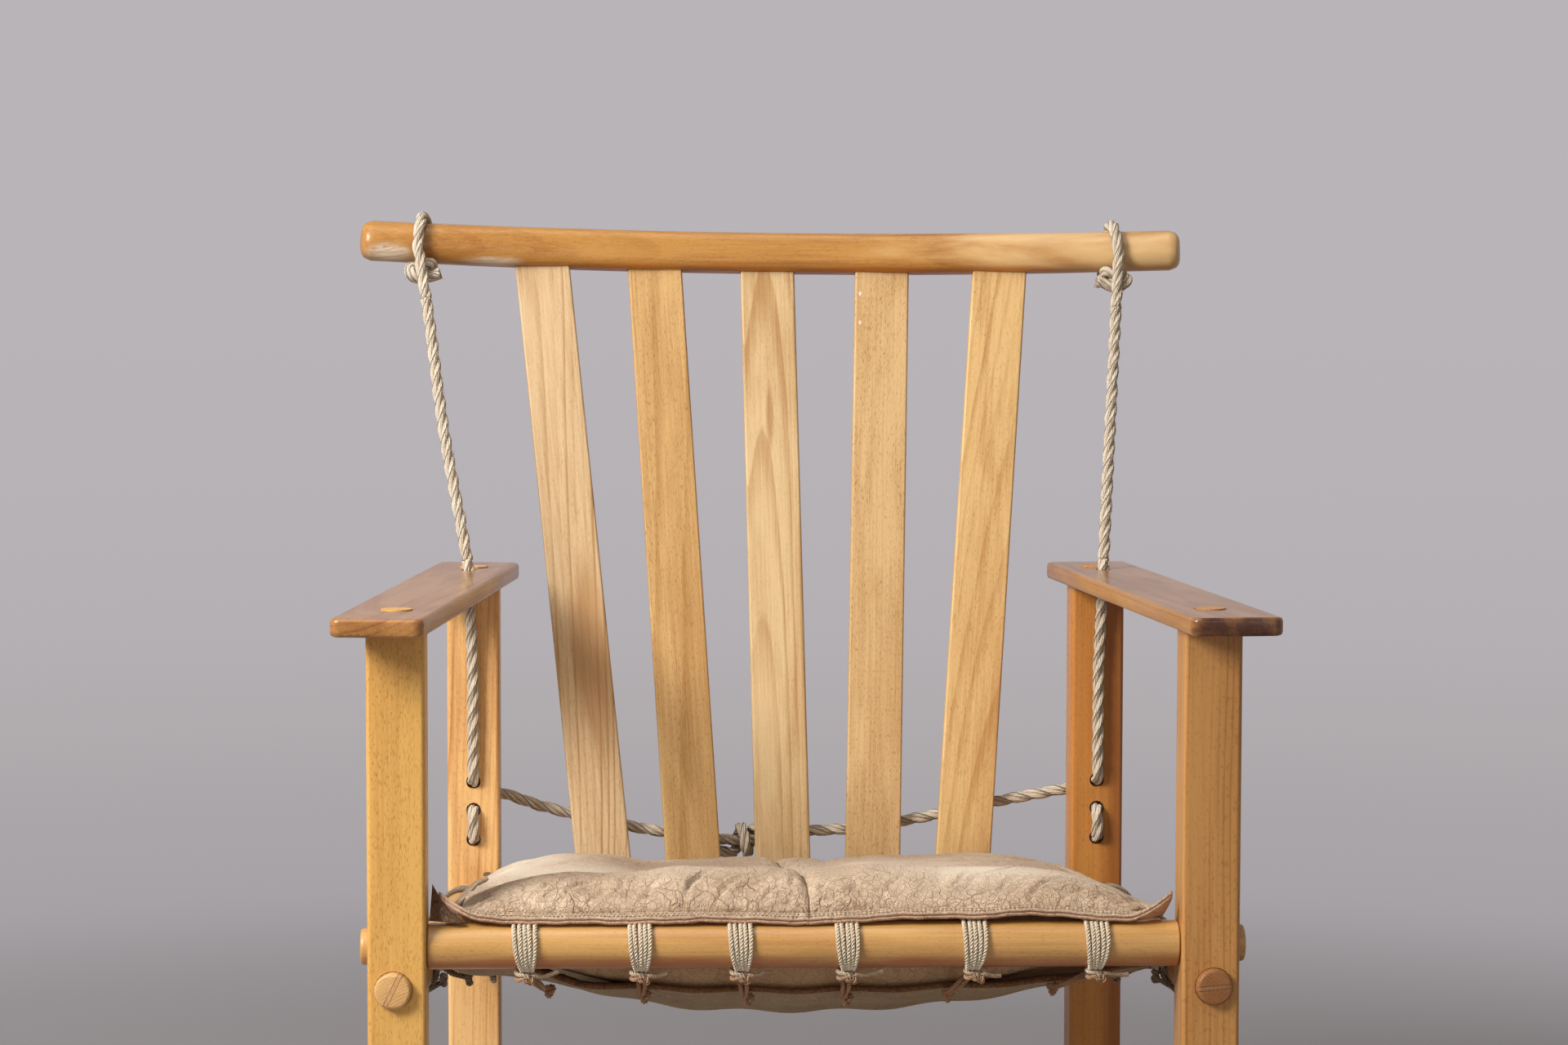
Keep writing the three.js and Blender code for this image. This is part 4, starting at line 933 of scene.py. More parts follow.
def make_sling():
    y = SEAT_FRONT + (SEAT_REAR - SEAT_FRONT) * np.linspace(0, 1, SLING_ROWS)
    y = np.repeat(y[:, None], SLING_COLUMNS, 1)
    x = np.linspace(-1, 1, SLING_COLUMNS)[None, :] * (rail_x(y) - SIDE_INSET)
    z = sling_top(x, y) + sling_lift(x, y)
    eyelets = [share * FRONT + drift for share, drift in zip(FRONT_SHARES, EYELET_DRIFT)]
    eyelets = [-OUTER_EYELETS, *eyelets, OUTER_EYELETS]
    scallop = np.sin(math.pi * (np.interp(x, eyelets, np.arange(len(eyelets))) % 1)) ** 2
    z = z + 1.2 - scallop * (1.6 * bell(y, SEAT_FRONT, 15) + 3.0 * bell(y, 150, 90))
    z = z + 7 * smoothstep(np.abs(x), 205, 250) * bell(y, SEAT_FRONT, 30)
    z = z + 9 * smoothstep(-x, 165, 215) * bell(y, SEAT_FRONT, 38)
    top = np.stack([x, y, z], -1)
    sling = grid_sheet("sling", row(top), row(top - [0, 0, SLING_THICK]), SLING_LOOK)
    rim = top[:HEM["rows"]].copy()
    rim[:, :, 1] = SEAT_FRONT - HEM["ahead"] + np.linspace(0, HEM["width"], HEM["rows"])[:, None]
    rim[:, :, 2] = z[0] - np.linspace(0, HEM["fall"], HEM["rows"])[:, None] - HEM["below"]
    half = [0, 0, HEM["half"]]
    hem = grid_sheet("sling_hem", row(rim + half), row(rim - half), HEM_LOOK)
    for thing in (sling, hem):
        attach(thing, "frame")
    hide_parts("seat_sling")


make_sling()

# The cushion

# Front and rear are places, side is its inset from the rails, edge the height of its front edge, fall and
# sag how much lower its rear and its left rear corner lie, wide how much further its left side reaches
CUSHION = {
    "front": -6.0, "rear": DEPTH - 24.0, "side": 22.0, "edge": 415.3, "fall": 24.0, "wide": (10.0, 11.0),
    "sag": 6.0,
}
CUSHION_COLUMNS, CUSHION_ROWS = 220, 170
VOXEL = 0.0042
# Lines across the seat, places and heights: the front edge, the roll behind it and the rear hump; the dip
# line holds how deep the valley between them lies
FLANGE_LINE = ([-285, -261, -206, -145, -77, 0, 71, 132, 170, 213, 256, 285],
               [417, 415.6, 411.5, 411.6, 412.3, 411, 414, 415, 417.5, 413.5, 411, 412])
ROLL_LINE = (
    [-262, -245, -226, -201, -176, -151, -126, -95, -76, -51, -26, 3, 25, 50, 75, 107, 140, 170, 200, 225, 245,
     262],
    [416, 424, 430, 434.5, 436, 434, 435, 440, 438.5, 437.7, 438, 437.5, 437, 440.5, 439, 437, 437.5, 437, 436,
     431, 424, 414])
HUMP_LINE = (
    [-250, -238, -224, -200, -180, -150, -133, -119, -85, -58, -31, -4, 12, 23, 30, 57, 78, 112, 152, 180, 200,
     221, 236],
    [397, 407, 413, 414, 413.4, 411, 406, 401.5, 403, 405, 407, 408, 406, 404, 401, 406, 407.6, 407, 411.4,
     410.6, 408, 401.5, 394])
DIP_LINE = ([-250, -200, -140, -90, -30, 10, 60, 120, 200], [10, 12, 12, 9, 8, 7, 5, 3, 4])
# Creases: start and end on the seat, and strength
CREASES = [
    ((-206, -2), (-184, 34), 1.5), ((-184, -4), (-160, 40), 1.7), ((-163, -4), (-152, 22), 1.1),
    ((-150, -3), (-132, 42), 1.5), ((-128, -4), (-104, 36), 1.3), ((-96, -4), (-66, 46), 1.9),
    ((-66, -5), (-50, 24), 1.2), ((-62, 0), (-36, 44), 1.3), ((-30, -4), (-18, 26), 1.1),
    ((-22, -5), (-6, 6), 1.5),
    ((-14, 10), (-4, 44), 1.1), ((8, 4), (22, 24), 1.2), ((6, -6), (34, 2), 1.4), ((32, -3), (48, 26), 0.9),
    ((62, 0), (76, 34), 1.0), ((98, -2), (128, 38), 1.2), ((122, 20), (196, 96), 1.6),
    ((140, 0), (170, 30), 1.1), ((168, -2), (214, 44), 1.5), ((196, -4), (232, 30), 1.4),
    ((206, 34), (246, 20), 1.2), ((214, 0), (250, 14), 1.3),
    ((-244, 4), (-226, 30), 1.3), ((-252, -2), (-232, 8), 1.1), ((-60, 150), (-150, 190), 1.4),
    ((-200, 220), (-140, 300), 1.3), ((60, 190), (30, 300), 1.6), ((110, 160), (190, 220), 1.2),
    ((150, 280), (210, 240), 1.2), ((-110, 240), (-60, 300), 1.2),
]
# Pale spots, partly wear and partly painted light where the seat lies in shade: strength, then place and reach
# across the seat, then into it
WEAR_AND_PAINTED_LIGHT_SPOTS = [
    (1.3, -222, 36, 280, 85), (0.35, -90, 40, 48, 16), (0.8, 150, 80, 48, 26), (0.85, -150, 60, 170, 60),
    (0.5, 60, 90, 190, 90),
]
# How wide and deep a crease is, at the front edge and on the seat
FRONT_CREASE, SEAT_CREASE = (1.4, 1.5), (4.0, 1.1)
CLOTH = {
    "quality": 6, "mass": 0.25, "tension_stiffness": 14, "compression_stiffness": 10, "shear_stiffness": 6,
    "bending_stiffness": 0.35, "use_pressure": True, "uniform_pressure_force": 2.5, "shrink_min": -0.035,
}
CLOTH_FRAMES, CLOTH_CAP = 20, 0.0035


def mixed(a, b, share):
    return a * (1 - share) + b * share


def edge_height(y):
    return CUSHION["edge"] - CUSHION["fall"] * np.maximum(0, y) / DEPTH


def half_width(y, side):
    """From the seat's middle line to the cushion's left or right side."""
    near, far = CUSHION["wide"]
    wide = near * smoothstep(y, 45, 120) + far * smoothstep(y, 250, 330) if side < 0 else 0
    return rail_x(y) - RAIL / 2 - CUSHION["side"] + wide


def own_half_width(x, y):
    return np.where(x < 0, half_width(y, -1), half_width(y, 1))


def rim_height(x, y):
    """Height of the cushion's sewn edge, or of its continuation inside."""
    near = 1 - smoothstep(y, -9, 40)
    sag = CUSHION["sag"] * smoothstep(y, 200, 340) * smoothstep(-x, 150, 250)
    return mixed(edge_height(y) - sag, np.interp(x, *FLANGE_LINE) + 3, near)


def smooth_grid(grid, times):
    grid = grid.copy()
    for _ in range(times):
        grid[1:-1] = grid[1:-1] / 2 + (grid[:-2] + grid[2:]) / 4
        grid[:, 1:-1] = grid[:, 1:-1] / 2 + (grid[:, :-2] + grid[:, 2:]) / 4
    return grid


def cushion_top(x, y, edge, s_grid):
    """The upper face: a front roll, a valley and a rear hump, drawn in at the sides and along the seam."""
    front = np.interp(x, *FLANGE_LINE) + 3
    roll, hump, dip = np.interp(x, *ROLL_LINE) - 2.5, np.interp(x, *HUMP_LINE) - 4, np.interp(x, *DIP_LINE)
    valley = roll * 0.62 + hump * 0.38 - dip
    rear = edge_height(CUSHION["rear"]) + 1.5
    knots = [-6, -3, 5, 22, 60, 100, 150, 225, 300, 335, 355, 362]
    levels = [front + (roll - front) * share for share in (0.0, 0.32, 0.64, 0.9)]
    levels += [roll, (roll + valley) / 2 + 2, valley, (valley + hump) / 2 + 1.5, hump]
    levels += [hump - (hump - rear) * share for share in (0.25, 0.7, 1.0)]
    top = np.zeros_like(x)
    for k, (start, end) in enumerate(zip(knots[:-1], knots[1:])):
        share = np.clip((y - start) / (end - start), 0, 1)
        top = np.where((y >= start) & (y <= end), mixed(levels[k], levels[k + 1], share), top)
    side = (1 - np.abs(s_grid) ** (7 - 3 * smoothstep(y, 30, 130))) ** 0.5
    top = smooth_grid(edge + (top - edge) * side, 5)
    seam = bell(x, seam_line(y), 5.0) * smoothstep(y, -9, 10) * (1 - smoothstep(y, 340, 362))
    return np.maximum(top - 3.5 * seam, edge) + 1.2


def cushion_bottom(x, y, edge, s_grid):
    """The lower face: over the front rail's lashings and down on the sling."""
    reach = RAIL / 2 + CORD + 1
    over_rail = RAILS["front"] + np.sqrt(np.maximum(0, reach ** 2 - y ** 2))
    laid = sling_top(x, np.clip(y, SEAT_FRONT, SEAT_REAR)) + sling_lift(x, y) + SOFT_GAP
    bottom = mixed(over_rail, laid, smoothstep(y, reach - 1, 33))
    bottom = mixed(bottom, edge - 2, smoothstep(y, 350, 362))
    share = (1 - np.abs(s_grid) ** 3.6) ** 0.62
    return np.minimum(edge - 1.2 - (edge - 1.2 - bottom) * share, edge - 1.2)


def cushion_body():
    """The two faces of the cushion as grids, from the front edge to the rear."""
    sigma, tau = np.linspace(-1, 1, CUSHION_COLUMNS), np.linspace(0, 1, CUSHION_ROWS)
    s = np.sin(sigma * math.pi / 2) * 0.55 + sigma * 0.45
    t = (1 - np.cos(math.pi * tau)) / 2 * 0.6 + tau * 0.4
    s_grid, t_grid = np.meshgrid(s, t)
    y = CUSHION["front"] + t_grid * (CUSHION["rear"] - CUSHION["front"])
    x = s_grid * own_half_width(s_grid, y)
    edge = rim_height(x, y)
    return [np.stack([x, y, face(x, y, edge, s_grid)], -1) for face in (cushion_top, cushion_bottom)]


def in_chair(items, field):
    """Places of a mesh's vertices or faces, in the chair frame."""
    return (vectors_of(items, field) - SHIFT) * 1000


def settle(thing, held):
    """Lets the leather find its own folds under the filling's pressure; no point moves beyond the cap."""
    start = vectors_of(thing.data.vertices, "co")
    group = thing.vertex_groups.new(name="held")
    group.add(np.nonzero(held)[0].tolist(), 1.0, "REPLACE")
    cloth = thing.modifiers.new("cloth", "CLOTH")
    for key, value in CLOTH.items():
        setattr(cloth.settings, key, value)
    cloth.settings.vertex_group_mass = "held"
    cloth.settings.effector_weights.gravity = 0
    for count in range(1, CLOTH_FRAMES + 1):
        SCENE.frame_set(count)
    ready = thing.evaluated_get(bpy.context.evaluated_depsgraph_get())
    move = vectors_of(ready.to_mesh().vertices, "co") - start
    ready.to_mesh_clear()
    thing.modifiers.remove(cloth)
    thing.vertex_groups.clear()
    SCENE.frame_set(1)
    size = np.linalg.norm(move, axis=1)
    move *= (np.tanh(size / CLOTH_CAP) * CLOTH_CAP / np.maximum(size, 1e-9))[:, None]
    write_points(thing.data, start + move)


def crease_depth(points):
    """How far the leather sinks at each point, and stands up beside a crease, in millimetres."""
    depth = np.zeros(len(points))
    for k, (start, end, size) in enumerate(CREASES):
        start, end = np.array(start, float), np.array(end, float)
        way = end - start
        length = np.linalg.norm(way)
        way /= length
        side = np.array([-way[1], way[0]])
        gap = points[:, :2] - start
        along = np.clip((gap @ way) / length, 0, 1)
        off = gap @ side - (2.6 * np.sin(along * math.pi * 1.3 + k) + 0.9 * np.sin(along * 11 + 2 * k))
        beyond = np.maximum(0, np.abs(gap @ way - length / 2) - length / 2)
        fade = bell(beyond, 0, 3) * (0.35 + 0.65 * np.sin(math.pi * np.clip(along, 0.04, 0.96)))
        wide, deep = FRONT_CREASE if start[1] < 100 else SEAT_CREASE
        fold = bell(off, 0, wide) - 0.45 * bell(np.abs(off), 3.2 * wide, 2.3 * wide)
        depth += deep * size * fade * fold
    return depth


def settle_cushion(cushion):
    x, y, z = in_chair(cushion.data.vertices, "co").T
    side = own_half_width(x, y) - np.abs(x)
    rim = np.minimum(side, np.minimum(y - CUSHION["front"], CUSHION["rear"] - y))
    upper = z > rim_height(x, y)
    seam = np.abs(x - seam_line(y)) < 3
    settle(cushion, (rim < 7) | (seam & upper) | ~upper)


def crease_cushion(cushion):
    """Presses the creases, the seam and its gathers, and the front's small folds into the upper face."""
    points = in_chair(cushion.data.vertices, "co")
    normals = vectors_of(cushion.data.vertices, "normal")
    x, y, z = points.T
    edge = rim_height(x, y)
    upper = smoothstep(z - edge, 0, 5)
    off = x - seam_line(y)
    seam = bell(off, 0, 1.1) * 1.6
    gather = bell(np.abs(off), 7, 6) * np.sin(y * 0.75 + 1.3 * np.sin(y * 0.21)) * 0.45
    fold = np.sin(x * 0.34 + 2.2 * np.sin(x * 0.061)) * 0.55 * bell(z - edge, 3, 4)
    sink = (crease_depth(points) + seam + gather + fold * smoothstep(-y, -30, 0)) * upper
    write_points(cushion.data, row(points - normals * sink[:, None]))
    # Where the pale patches lie: partly wear, partly painted light
    wear_and_painted_light = cushion.data.attributes.new("wear_and_painted_light", "FLOAT", "POINT")
    pale = np.zeros(len(x))
    for most, at_x, wide_x, at_y, wide_y in WEAR_AND_PAINTED_LIGHT_SPOTS:
        pale += most * bell(x, at_x, wide_x) * bell(y, at_y, wide_y)
    wear_and_painted_light.data.foreach_set("value", np.clip(pale, 0, 1).astype(np.float32))


def make_cushion():
    top, bottom = cushion_body()
    cushion = grid_sheet("cushion", row(top), row(bottom), CUSHION_LOOK)
    cushion.data.materials.append(LINING_LOOK)
    with_modifier(cushion, "REMESH", mode="VOXEL", voxel_size=VOXEL, use_smooth_shade=True)
    settle_cushion(cushion)
    with_modifier(cushion, "SUBSURF", levels=1, render_levels=1)
    crease_cushion(cushion)
    faces = cushion.data.polygons
    x, y, z = in_chair(faces, "center").T
    under = z < rim_height(x, y) - 3
    faces.foreach_set("material_index", under.astype(np.int32))
    faces.foreach_set("use_smooth", np.ones(len(under), bool))
    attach(cushion, "frame")
    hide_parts("seat_cushion")


# The cushion's sewn edge

FLANGE_SHARES = np.array([-0.5, 0.0, 0.25, 0.5, 0.75, 1.0])
STITCH_SHARES = (0.34, 0.72)
STITCH = {"length": 2.3, "gap": 0.9, "radius": 0.42, "sides": 6}
# A stitch's points: how far along it, how high and how thick
STITCH_FORM = np.array([(-0.5, -0.3, 0, 0.3, 0.5), (-0.5, 0.35, 0.7, 0.35, -0.5), (0.5, 0.95, 1, 0.95, 0.5)])
POST_FACE = 282.6
# At the front corners, left and right: how far the ear reaches, how high it stands and how much wider it is
EARS = {-1: (11, 14, 6), 1: (12, 17, 10)}
HOLE = {"x": -250.0, "y": 338.0, "out": 0.5, "up": 1.2, "long": 1.5, "sides": 24}
HOLE_RINGS = ((1.7, -0.4), (1.9, 0.9), (2.6, 1.5), (3.5, 1.2), (4.2, -0.4), (1.7, -0.6))


def rim_path():
    """The edge of the cushion in plan, with the corners rounded, and the way out from it."""
    front, rear = CUSHION["front"], CUSHION["rear"]
    corners = [(0, front), (half_width(front, 1), front), (half_width(rear, 1), rear)]
    corners += [(-half_width(rear, -1), rear), (-half_width(front, -1), front), (0, front)]
    path = resampled([(x, y, 0) for x, y in corners], 2.0)[:-1]
    for _ in range(14):
        path = path / 2 + (np.roll(path, 1, 0) + np.roll(path, -1, 0)) / 4
    way = np.roll(path, -1, 0) - np.roll(path, 1, 0)
    way /= np.linalg.norm(way, axis=1)[:, None]
    return path, np.stack([way[:, 1], -way[:, 0], way[:, 2]], 1)


def flange_points(path, out, across, drop):
    """Points of one layer of the flange, out from the cushion's edge by each share of its width."""
    x, y = path[:, 0], path[:, 1]
    ear, lift = np.zeros(len(path)), np.zeros(len(path))
    wide = np.where(y < 20, 4.5, 4.0) - 2.9 * smoothstep(y, 335, 355)
    for side, (reach, high, more) in EARS.items():
        corner = np.array([side * half_width(CUSHION["front"], side), CUSHION["front"]])
        gap = np.linalg.norm(path[:, :2] - corner, axis=1) * np.where(y > CUSHION["front"] + 3, 2.2, 1.0)
        near = bell(gap, 0, reach)
        ear, lift, wide = ear + near, lift + near * high, wide + near * more
    toward = np.stack([np.sign(x), np.full(len(path), -0.12), np.zeros(len(path))], 1)
    out = mixed(out, toward, ear[:, None])
    out /= np.linalg.norm(out, axis=1)[:, None]
    run = np.arange(len(path))
    ripple = np.sin(run * 0.11) + 0.6 * np.sin(run * 0.29 + 1) + 0.4 * np.sin(run * 0.63)
    droop = np.where(y < 20, 2.6, 1.0) + 0.5 * ripple
    place = np.stack([x, y, rim_height(x, y)], 1)
    rows = []
    for share in across:
        point = place + out * (wide * share)[:, None]
        point[:, 2] += lift * max(share, 0) ** 1.4 - droop * max(share, 0) ** 2 * (1 - ear) - drop
        point[:, 0] = np.clip(point[:, 0], -POST_FACE, POST_FACE)
        rows.append(point)
    return np.array(rows)


def closed_strip(name, upper, lower, look, raw_look=None):
    """A band between two grids whose columns close on themselves; its outer edge may have its own look."""
    rows, columns = upper.shape[:2]
    loop = np.concatenate([upper, lower[::-1]])
    count = len(loop)
    i, j = np.meshgrid(np.arange(count), np.arange(columns), indexing="ij")
    this, after, on = i * columns, ((i + 1) % count) * columns, (j + 1) % columns
    faces = np.stack([this + j, this + on, after + on, after + j], -1).reshape(-1, 4)
    thing = mesh_object(name, row(loop.reshape(-1, 3)), faces, look)
    if raw_look:
        thing.data.materials.append(raw_look)
        index = np.repeat(np.where(np.arange(count) == rows - 1, 1, 0), columns)
        thing.data.polygons.foreach_set("material_index", index.astype(np.int32))
    return thing


def stitches(name, line, normal):
    """Short threads laid along a line, each dipping into the leather at its ends."""
    run = lengths(line)
    length, gap, radius, sides = (STITCH[key] for key in ("length", "gap", "radius", "sides"))
    share, lift, thick = STITCH_FORM
    points, faces = [], []
    for k in range(int(run[-1] / (length + gap))):
        at = (k + 0.5) * (length + gap)
        spots = np.stack([np.interp(at + share * length, run, line[:, a]) for a in range(3)], 1)
        up = normal[min(len(normal) - 1, int(np.searchsorted(run, at)))]
        spots += (lift * radius)[:, None] * up
        way = spots[-1] - spots[0]
        way /= np.linalg.norm(way)
        ring = circles(spots, radius * thick, even_angles(sides), np.cross(way, up), up)
        more, more_faces = skinned(ring, len(points) * len(share) * sides)
        points.append(more)
        faces += more_faces
    points = np.concatenate(points)
    thing = mesh_object(name, row(points), faces, THREAD_LOOK)
    put_lay(thing, np.tile([0.5, 0.01, 1.0], (len(points), 1)))
    return thing


def make_corner_hole():
    """The punched hole in the cushion's rear left corner, with the leather standing up round it."""
    turn = even_angles(HOLE["sides"])
    y = HOLE["y"]
    place = np.array([-half_width(y, -1) - HOLE["out"], y, rim_height(HOLE["x"], y) + HOLE["up"]])
    rings = []
    for radius, height in HOLE_RINGS:
        oval = [radius * np.cos(turn), HOLE["long"] * radius * np.sin(turn), np.full(len(turn), height)]
        rings.append(place + np.stack(oval, 1))
    points, faces = skinned(np.array(rings))
    return mesh_object("cushion_corner_hole", row(points), faces, EAR_LOOK)


def make_ear():
    """The left front corner of the lower leather, turned up against the post."""
    u, v = np.meshgrid(np.linspace(0, 1, 16), np.linspace(0, 1, 20))
    low = mixed(np.array([-282.0, -8, 410.5]), np.array([-256.0, -9.5, 409.5]), u[..., None])
    high = mixed(np.array([-280.0, -3, 437.5]), np.array([-268.0, -7, 419.0]), u[..., None])
    face = mixed(low, high, v[..., None])
    face[..., 1] -= 3.0 * np.sin(math.pi * u) * (1 - 0.5 * v) - 1.2 * np.sin(5 * u + 3 * v)
    face[..., 0] = np.maximum(face[..., 0], -POST_FACE)
    return grid_sheet("cushion_ear", row(face), row(face + [0, 1.7, 0]), EAR_LOOK)


def make_flange():
    path, out = rim_path()
    upper = flange_points(path, out, FLANGE_SHARES, 0.0)
    flange = closed_strip("cushion_flange", upper + [0, 0, 0.9], upper - [0, 0, 1.6], CUSHION_LOOK, RAW_LOOK)
    lower = flange_points(path, out, FLANGE_SHARES * 0.99, 3.1)
    layer = closed_strip("cushion_under_layer", lower + [0, 0, 1.0], lower - [0, 0, 1.3], EDGE_LOOK)
    pieces = [flange, layer]
    normal = np.cross(np.roll(path, -1, 0) - np.roll(path, 1, 0), upper[-1] - upper[1])
    normal /= np.linalg.norm(normal, axis=1)[:, None]
    normal *= np.sign(normal[:, 2])[:, None]
    for number, share in enumerate(STITCH_SHARES):
        line = flange_points(path, out, [share], 0.0)[0] + normal * 0.85
        pieces.append(stitches(f"cushion_stitches_{number + 1}", line, normal))
    pieces += [make_ear(), make_corner_hole()]
    for piece in pieces:
        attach(piece, "frame")


make_cushion()
make_flange()

# Lashings: x runs along the rail, y into the seat

LASH_RADIUS = RAIL / 2 + SEAT_GAP + CORD / 2
LASH_STEPS, LASH_PITCH, BUNDLE_PITCH = 28, 3.8, 3.75
LASH_WIDTH = 0.0036
FRONT_TURNS, HIDDEN_TURNS = 5, 4
FRONT_TAILS = (26, 21, 18, 28, 21, 25)
REAR_TAIL, SIDE_TAIL = 20, 19


def trefoil(start, end, count):
    """Places along a trefoil knot, between two angles of the full turn that closes it."""
    t = np.linspace(start, end, count)
    return np.cos(t) - 2 * np.cos(2 * t), -np.sin(3 * t), np.sin(t) + 2 * np.sin(2 * t)


def bundle_hitch(half, tail, lean):
    """The cut tail, a knot, and a turn round the bundle of cords under the rail."""
    low = -LASH_RADIUS
    wide = half * 0.5 + 2.2
    x, y, z = trefoil(0.9, FULL_TURN + 0.5, 22)
    knot = np.array([wide * 0.7, -9.6, low - 4.6]) + np.stack([x, y, z], 1) * [1.5, 1.9, 1.35]
    return [
        (tail, -7.5 + 1.5 * lean, low - 1.0 + 2.5 * lean), (wide + 7, -8.5, low - 3.4), *knot,
        (-wide * 0.7, -9.4, low - 5.2), (-wide - 0.4, -4.5, low - 4.6), (-wide * 0.5, 1.5, low - 4.4),
        (wide * 0.6, 1.5, low - 3.6), (wide + 0.8, -3.5, low - 2.4), (wide * 0.75, -9.0, low - 1.7),
        (0, -11.2, low - 1.2), (-wide * 0.85, -9.6, low - 0.6), (-wide - 0.6, -5, low + 0.6),
        (-wide * 0.8, -1, low - 0.2), (-half * 0.5, 4, low - 0.3),
    ]


def rail_turns(turns, lean):
    """The turns round the rail, drawn together at its underside."""
    points = []
    for i in range(LASH_STEPS // 4, turns * LASH_STEPS + 1):
        angle = FULL_TURN * i / LASH_STEPS
        k = i / LASH_STEPS - turns / 2
        pinch = (0.5 + 0.5 * math.cos(angle + 0.25)) ** 5
        radius = LASH_RADIUS + 0.8 * pinch * math.cos(3.1 * k)
        sway = 1.2 * math.sin(2.3 * k + lean * 3) * (0.5 - 0.5 * math.cos(angle))
        x = k * LASH_PITCH * (1 - 0.55 * pinch) + sway * 0.35 + lean * 2.0 * pinch
        points.append((x, radius * math.sin(angle), -radius * math.cos(angle)))
    return points


def eyelet_knot(height, drift, lean):
    """Down to a knot in the sling's eyelet and back behind the turns."""
    low = -LASH_RADIUS
    x, y, z = trefoil(-0.35, FULL_TURN - 0.55, 26)
    knot = np.array([drift, EYELET_INSET - 9.5, height - 3.5]) + np.stack([z, y, x], 1) * [1.55, 2.3, 1.75]
    aside = drift * 0.55
    return [
        (2.4 + lean, 4, low - 3.4), (2.2 + aside, 11, low + (height - low) * 0.45 - 4.5), *knot,
        (aside - 2.4, 12, low + (height - low) * 0.5 - 4.0), (-2.6 + lean, 6, low - 3.0), (-2, 11, low + 5),
    ]


def lashing(name, at, turn, turns, look, drift, tail, lean):
    """One cord: a cut tail, a hitch round the bundle, the turns round the rail, a knot in an eyelet."""
    c, s = math.cos(turn), math.sin(turn)
    hem = (at[0] + drift * c - s * EYELET_INSET, at[1] + drift * s + c * EYELET_INSET)
    height = float(sling_top(*hem)) - SLING_THICK / 2 - at[2]
    half = (turns - 1) / 2 * BUNDLE_PITCH
    route = [*bundle_hitch(half, tail, lean), *rail_turns(turns, lean), *eyelet_knot(height, drift, lean)]
    x, y, z = np.array(route, float).T
    world = np.stack([at[0] + x * c - y * s, at[1] + x * s + y * c, at[2] + z], -1)
    dense = eased(resampled(world, 1.0), 4)
    return stranded(name, row(dense), LASH_WIDTH, CORD_LAY, look, sides=7, step=0.0008, flare=0.3,
                    fuzz=CORD_FUZZ)


def make_lashings():
    places = []
    for i, share in enumerate(FRONT_SHARES):
        at = (share * FRONT, 0, RAILS["front"])
        places.append((f"front_{i + 1}", at, 0.0, FRONT_TURNS, EYELET_DRIFT[i], FRONT_TAILS[i]))
    for i, share in enumerate((-1.5, -0.5, 0.5, 1.5)):
        at = (share * SLAT_SPACING, DEPTH, RAILS["rear"])
        places.append((f"rear_{i + 1}", at, math.pi, HIDDEN_TURNS, 0, REAR_TAIL))
    for side, word in SIDES:
        for i, share in enumerate((-0.34, 0, 0.34)):
            y = DEPTH * (share + 0.5)
            at, turn = (side * rail_x(y), y, RAILS["side"]), side * (math.pi / 2 + TOE)
            places.append((f"{word}_{i + 1}", at, turn, HIDDEN_TURNS, 0, SIDE_TAIL))
    for name, at, turn, turns, drift, tail in places:
        look = CORD_LOOK if "front" in name else SHADE_CORD_LOOK
        tie = lashing(f"tie_{name}", at, turn, turns, look, drift, tail, float(RANDOM.uniform(-1, 1)))
        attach(tie, "frame")
        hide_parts(f"lashing_{name}")


make_lashings()

# Stage and light, in metres

FLOOR_TONE = (0.38, 0.364, 0.384)
# The far backdrop's tones by distance from the chair plus height: painted shade, darker near the chair and low
# down
BACKDROP_TONES = ((1.6, (0.36, 0.337, 0.355)), (4.4, (0.437, 0.413, 0.426)), (8.0, (0.488, 0.458, 0.482)))
NEAR_FLOOR, FAR_FLOOR = 1.1, 2.5
STUDIO = {"floor": 5.5, "bend": 2.5, "height": 9.0, "sides": 96, "bend_steps": 16}


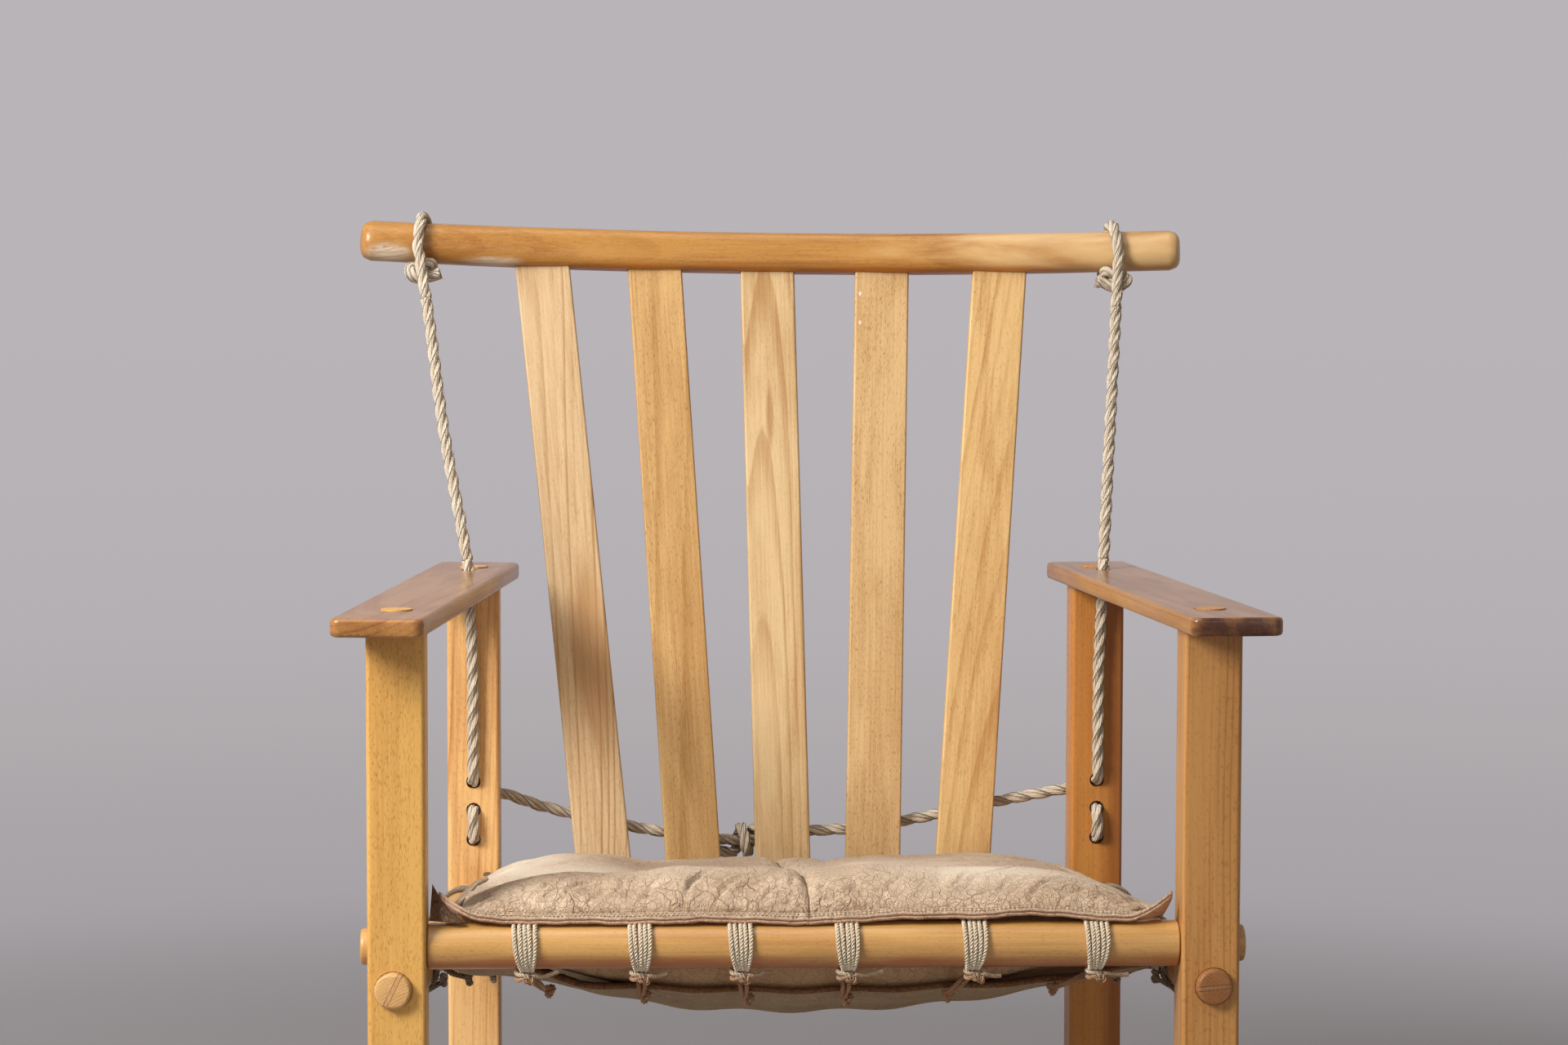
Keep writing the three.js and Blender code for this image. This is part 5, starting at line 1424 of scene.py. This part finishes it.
def paper_material():
    """Near the chair it is matt and takes shadows. Far from it the camera sees a paper tone that grows darker
    towards the chair and the floor, painted shade, and no light comes from it."""
    n = Nodes("studio_paper")
    x, y, z = n.parts(n.place)
    away = n.math("SQRT", x * x + y * y) + z
    (first, near_tone), (second, middle_tone), (third, far_tone) = BACKDROP_TONES
    tone = n.mix(n.ranged(away, first, second, kind="LINEAR"), near_tone, middle_tone)
    tone = n.mix(n.ranged(away, second, third, kind="LINEAR"), tone, far_tone)
    rays = n.node("ShaderNodeLightPath").outputs
    seen = n.math("MAXIMUM", rays["Is Glossy Ray"], rays["Is Transmission Ray"])
    seen = n.math("MAXIMUM", rays["Is Camera Ray"], seen)
    glow = n.node("ShaderNodeEmission", {"Color": tone, "Strength": 1.0}).outputs[0]
    clear = n.node("ShaderNodeBsdfTransparent").outputs[0]
    distant = n.node("ShaderNodeMixShader", {0: seen, 1: clear, 2: glow}).outputs[0]
    n.done(FLOOR_TONE, 0.9, Specular_IOR_Level=0.1)
    share = n.ranged(away, NEAR_FLOOR, FAR_FLOOR)
    both = n.node("ShaderNodeMixShader", {0: share, 1: n.shader.outputs[0], 2: distant}).outputs[0]
    n.tree.links.new(both, n.tree.nodes["Material Output"].inputs["Surface"])
    return n.material


def make_stage():
    """A round floor that curves up into a wall."""
    floor, bend, sides = STUDIO["floor"], STUDIO["bend"], STUDIO["sides"]
    run = [(0.01, 0.0), (1.5, 0.0), (3.0, 0.0), (floor, 0.0)]
    for k in range(1, STUDIO["bend_steps"] + 1):
        a = math.pi / 2 * k / STUDIO["bend_steps"]
        run.append((floor + bend * math.sin(a), bend * (1 - math.cos(a))))
    run.append((floor + bend, STUDIO["height"]))
    turn = even_angles(sides)
    rings = np.array([np.stack([r * np.cos(turn), r * np.sin(turn), np.full(sides, z)], 1) for r, z in run])
    points, faces = skinned(rings)
    mesh_object("floor_and_backdrop", points, faces, paper_material())


def area_light(name, place, aim, size, power, color=(1, 1, 1)):
    data = bpy.data.lights.new(name, "AREA")
    data.shape = "RECTANGLE"
    data.size = data.size_y = size
    data.energy = power
    data.color = color
    light = bpy.data.objects.new(name, data)
    SCENE.collection.objects.link(light)
    light.location = place
    light.rotation_mode = "QUATERNION"
    light.rotation_quaternion = (Vector(aim) - Vector(place)).to_track_quat("-Z", "Y")


def make_lights():
    world = bpy.data.worlds.new("studio")
    SCENE.world = world
    world.use_nodes = True
    sky = world.node_tree.nodes["Background"].inputs
    feed(sky["Color"], (1.0, 0.88, 0.72))
    feed(sky["Strength"], 0.2)
    area_light("key", (-1.85, -1.4, 1.95), (0.0, 0.2, 0.7), 1.0, 90, (1.0, 0.985, 0.96))
    area_light("top", (-0.5, -0.6, 3.0), (0, 0.2, 0.4), 1.8, 25)
    area_light("fill", (1.2, -3.6, 1.6), (0, 0.2, 0.5), 1.6, 8)


make_stage()
make_lights()
SCENE.view_settings.view_transform = "Standard"
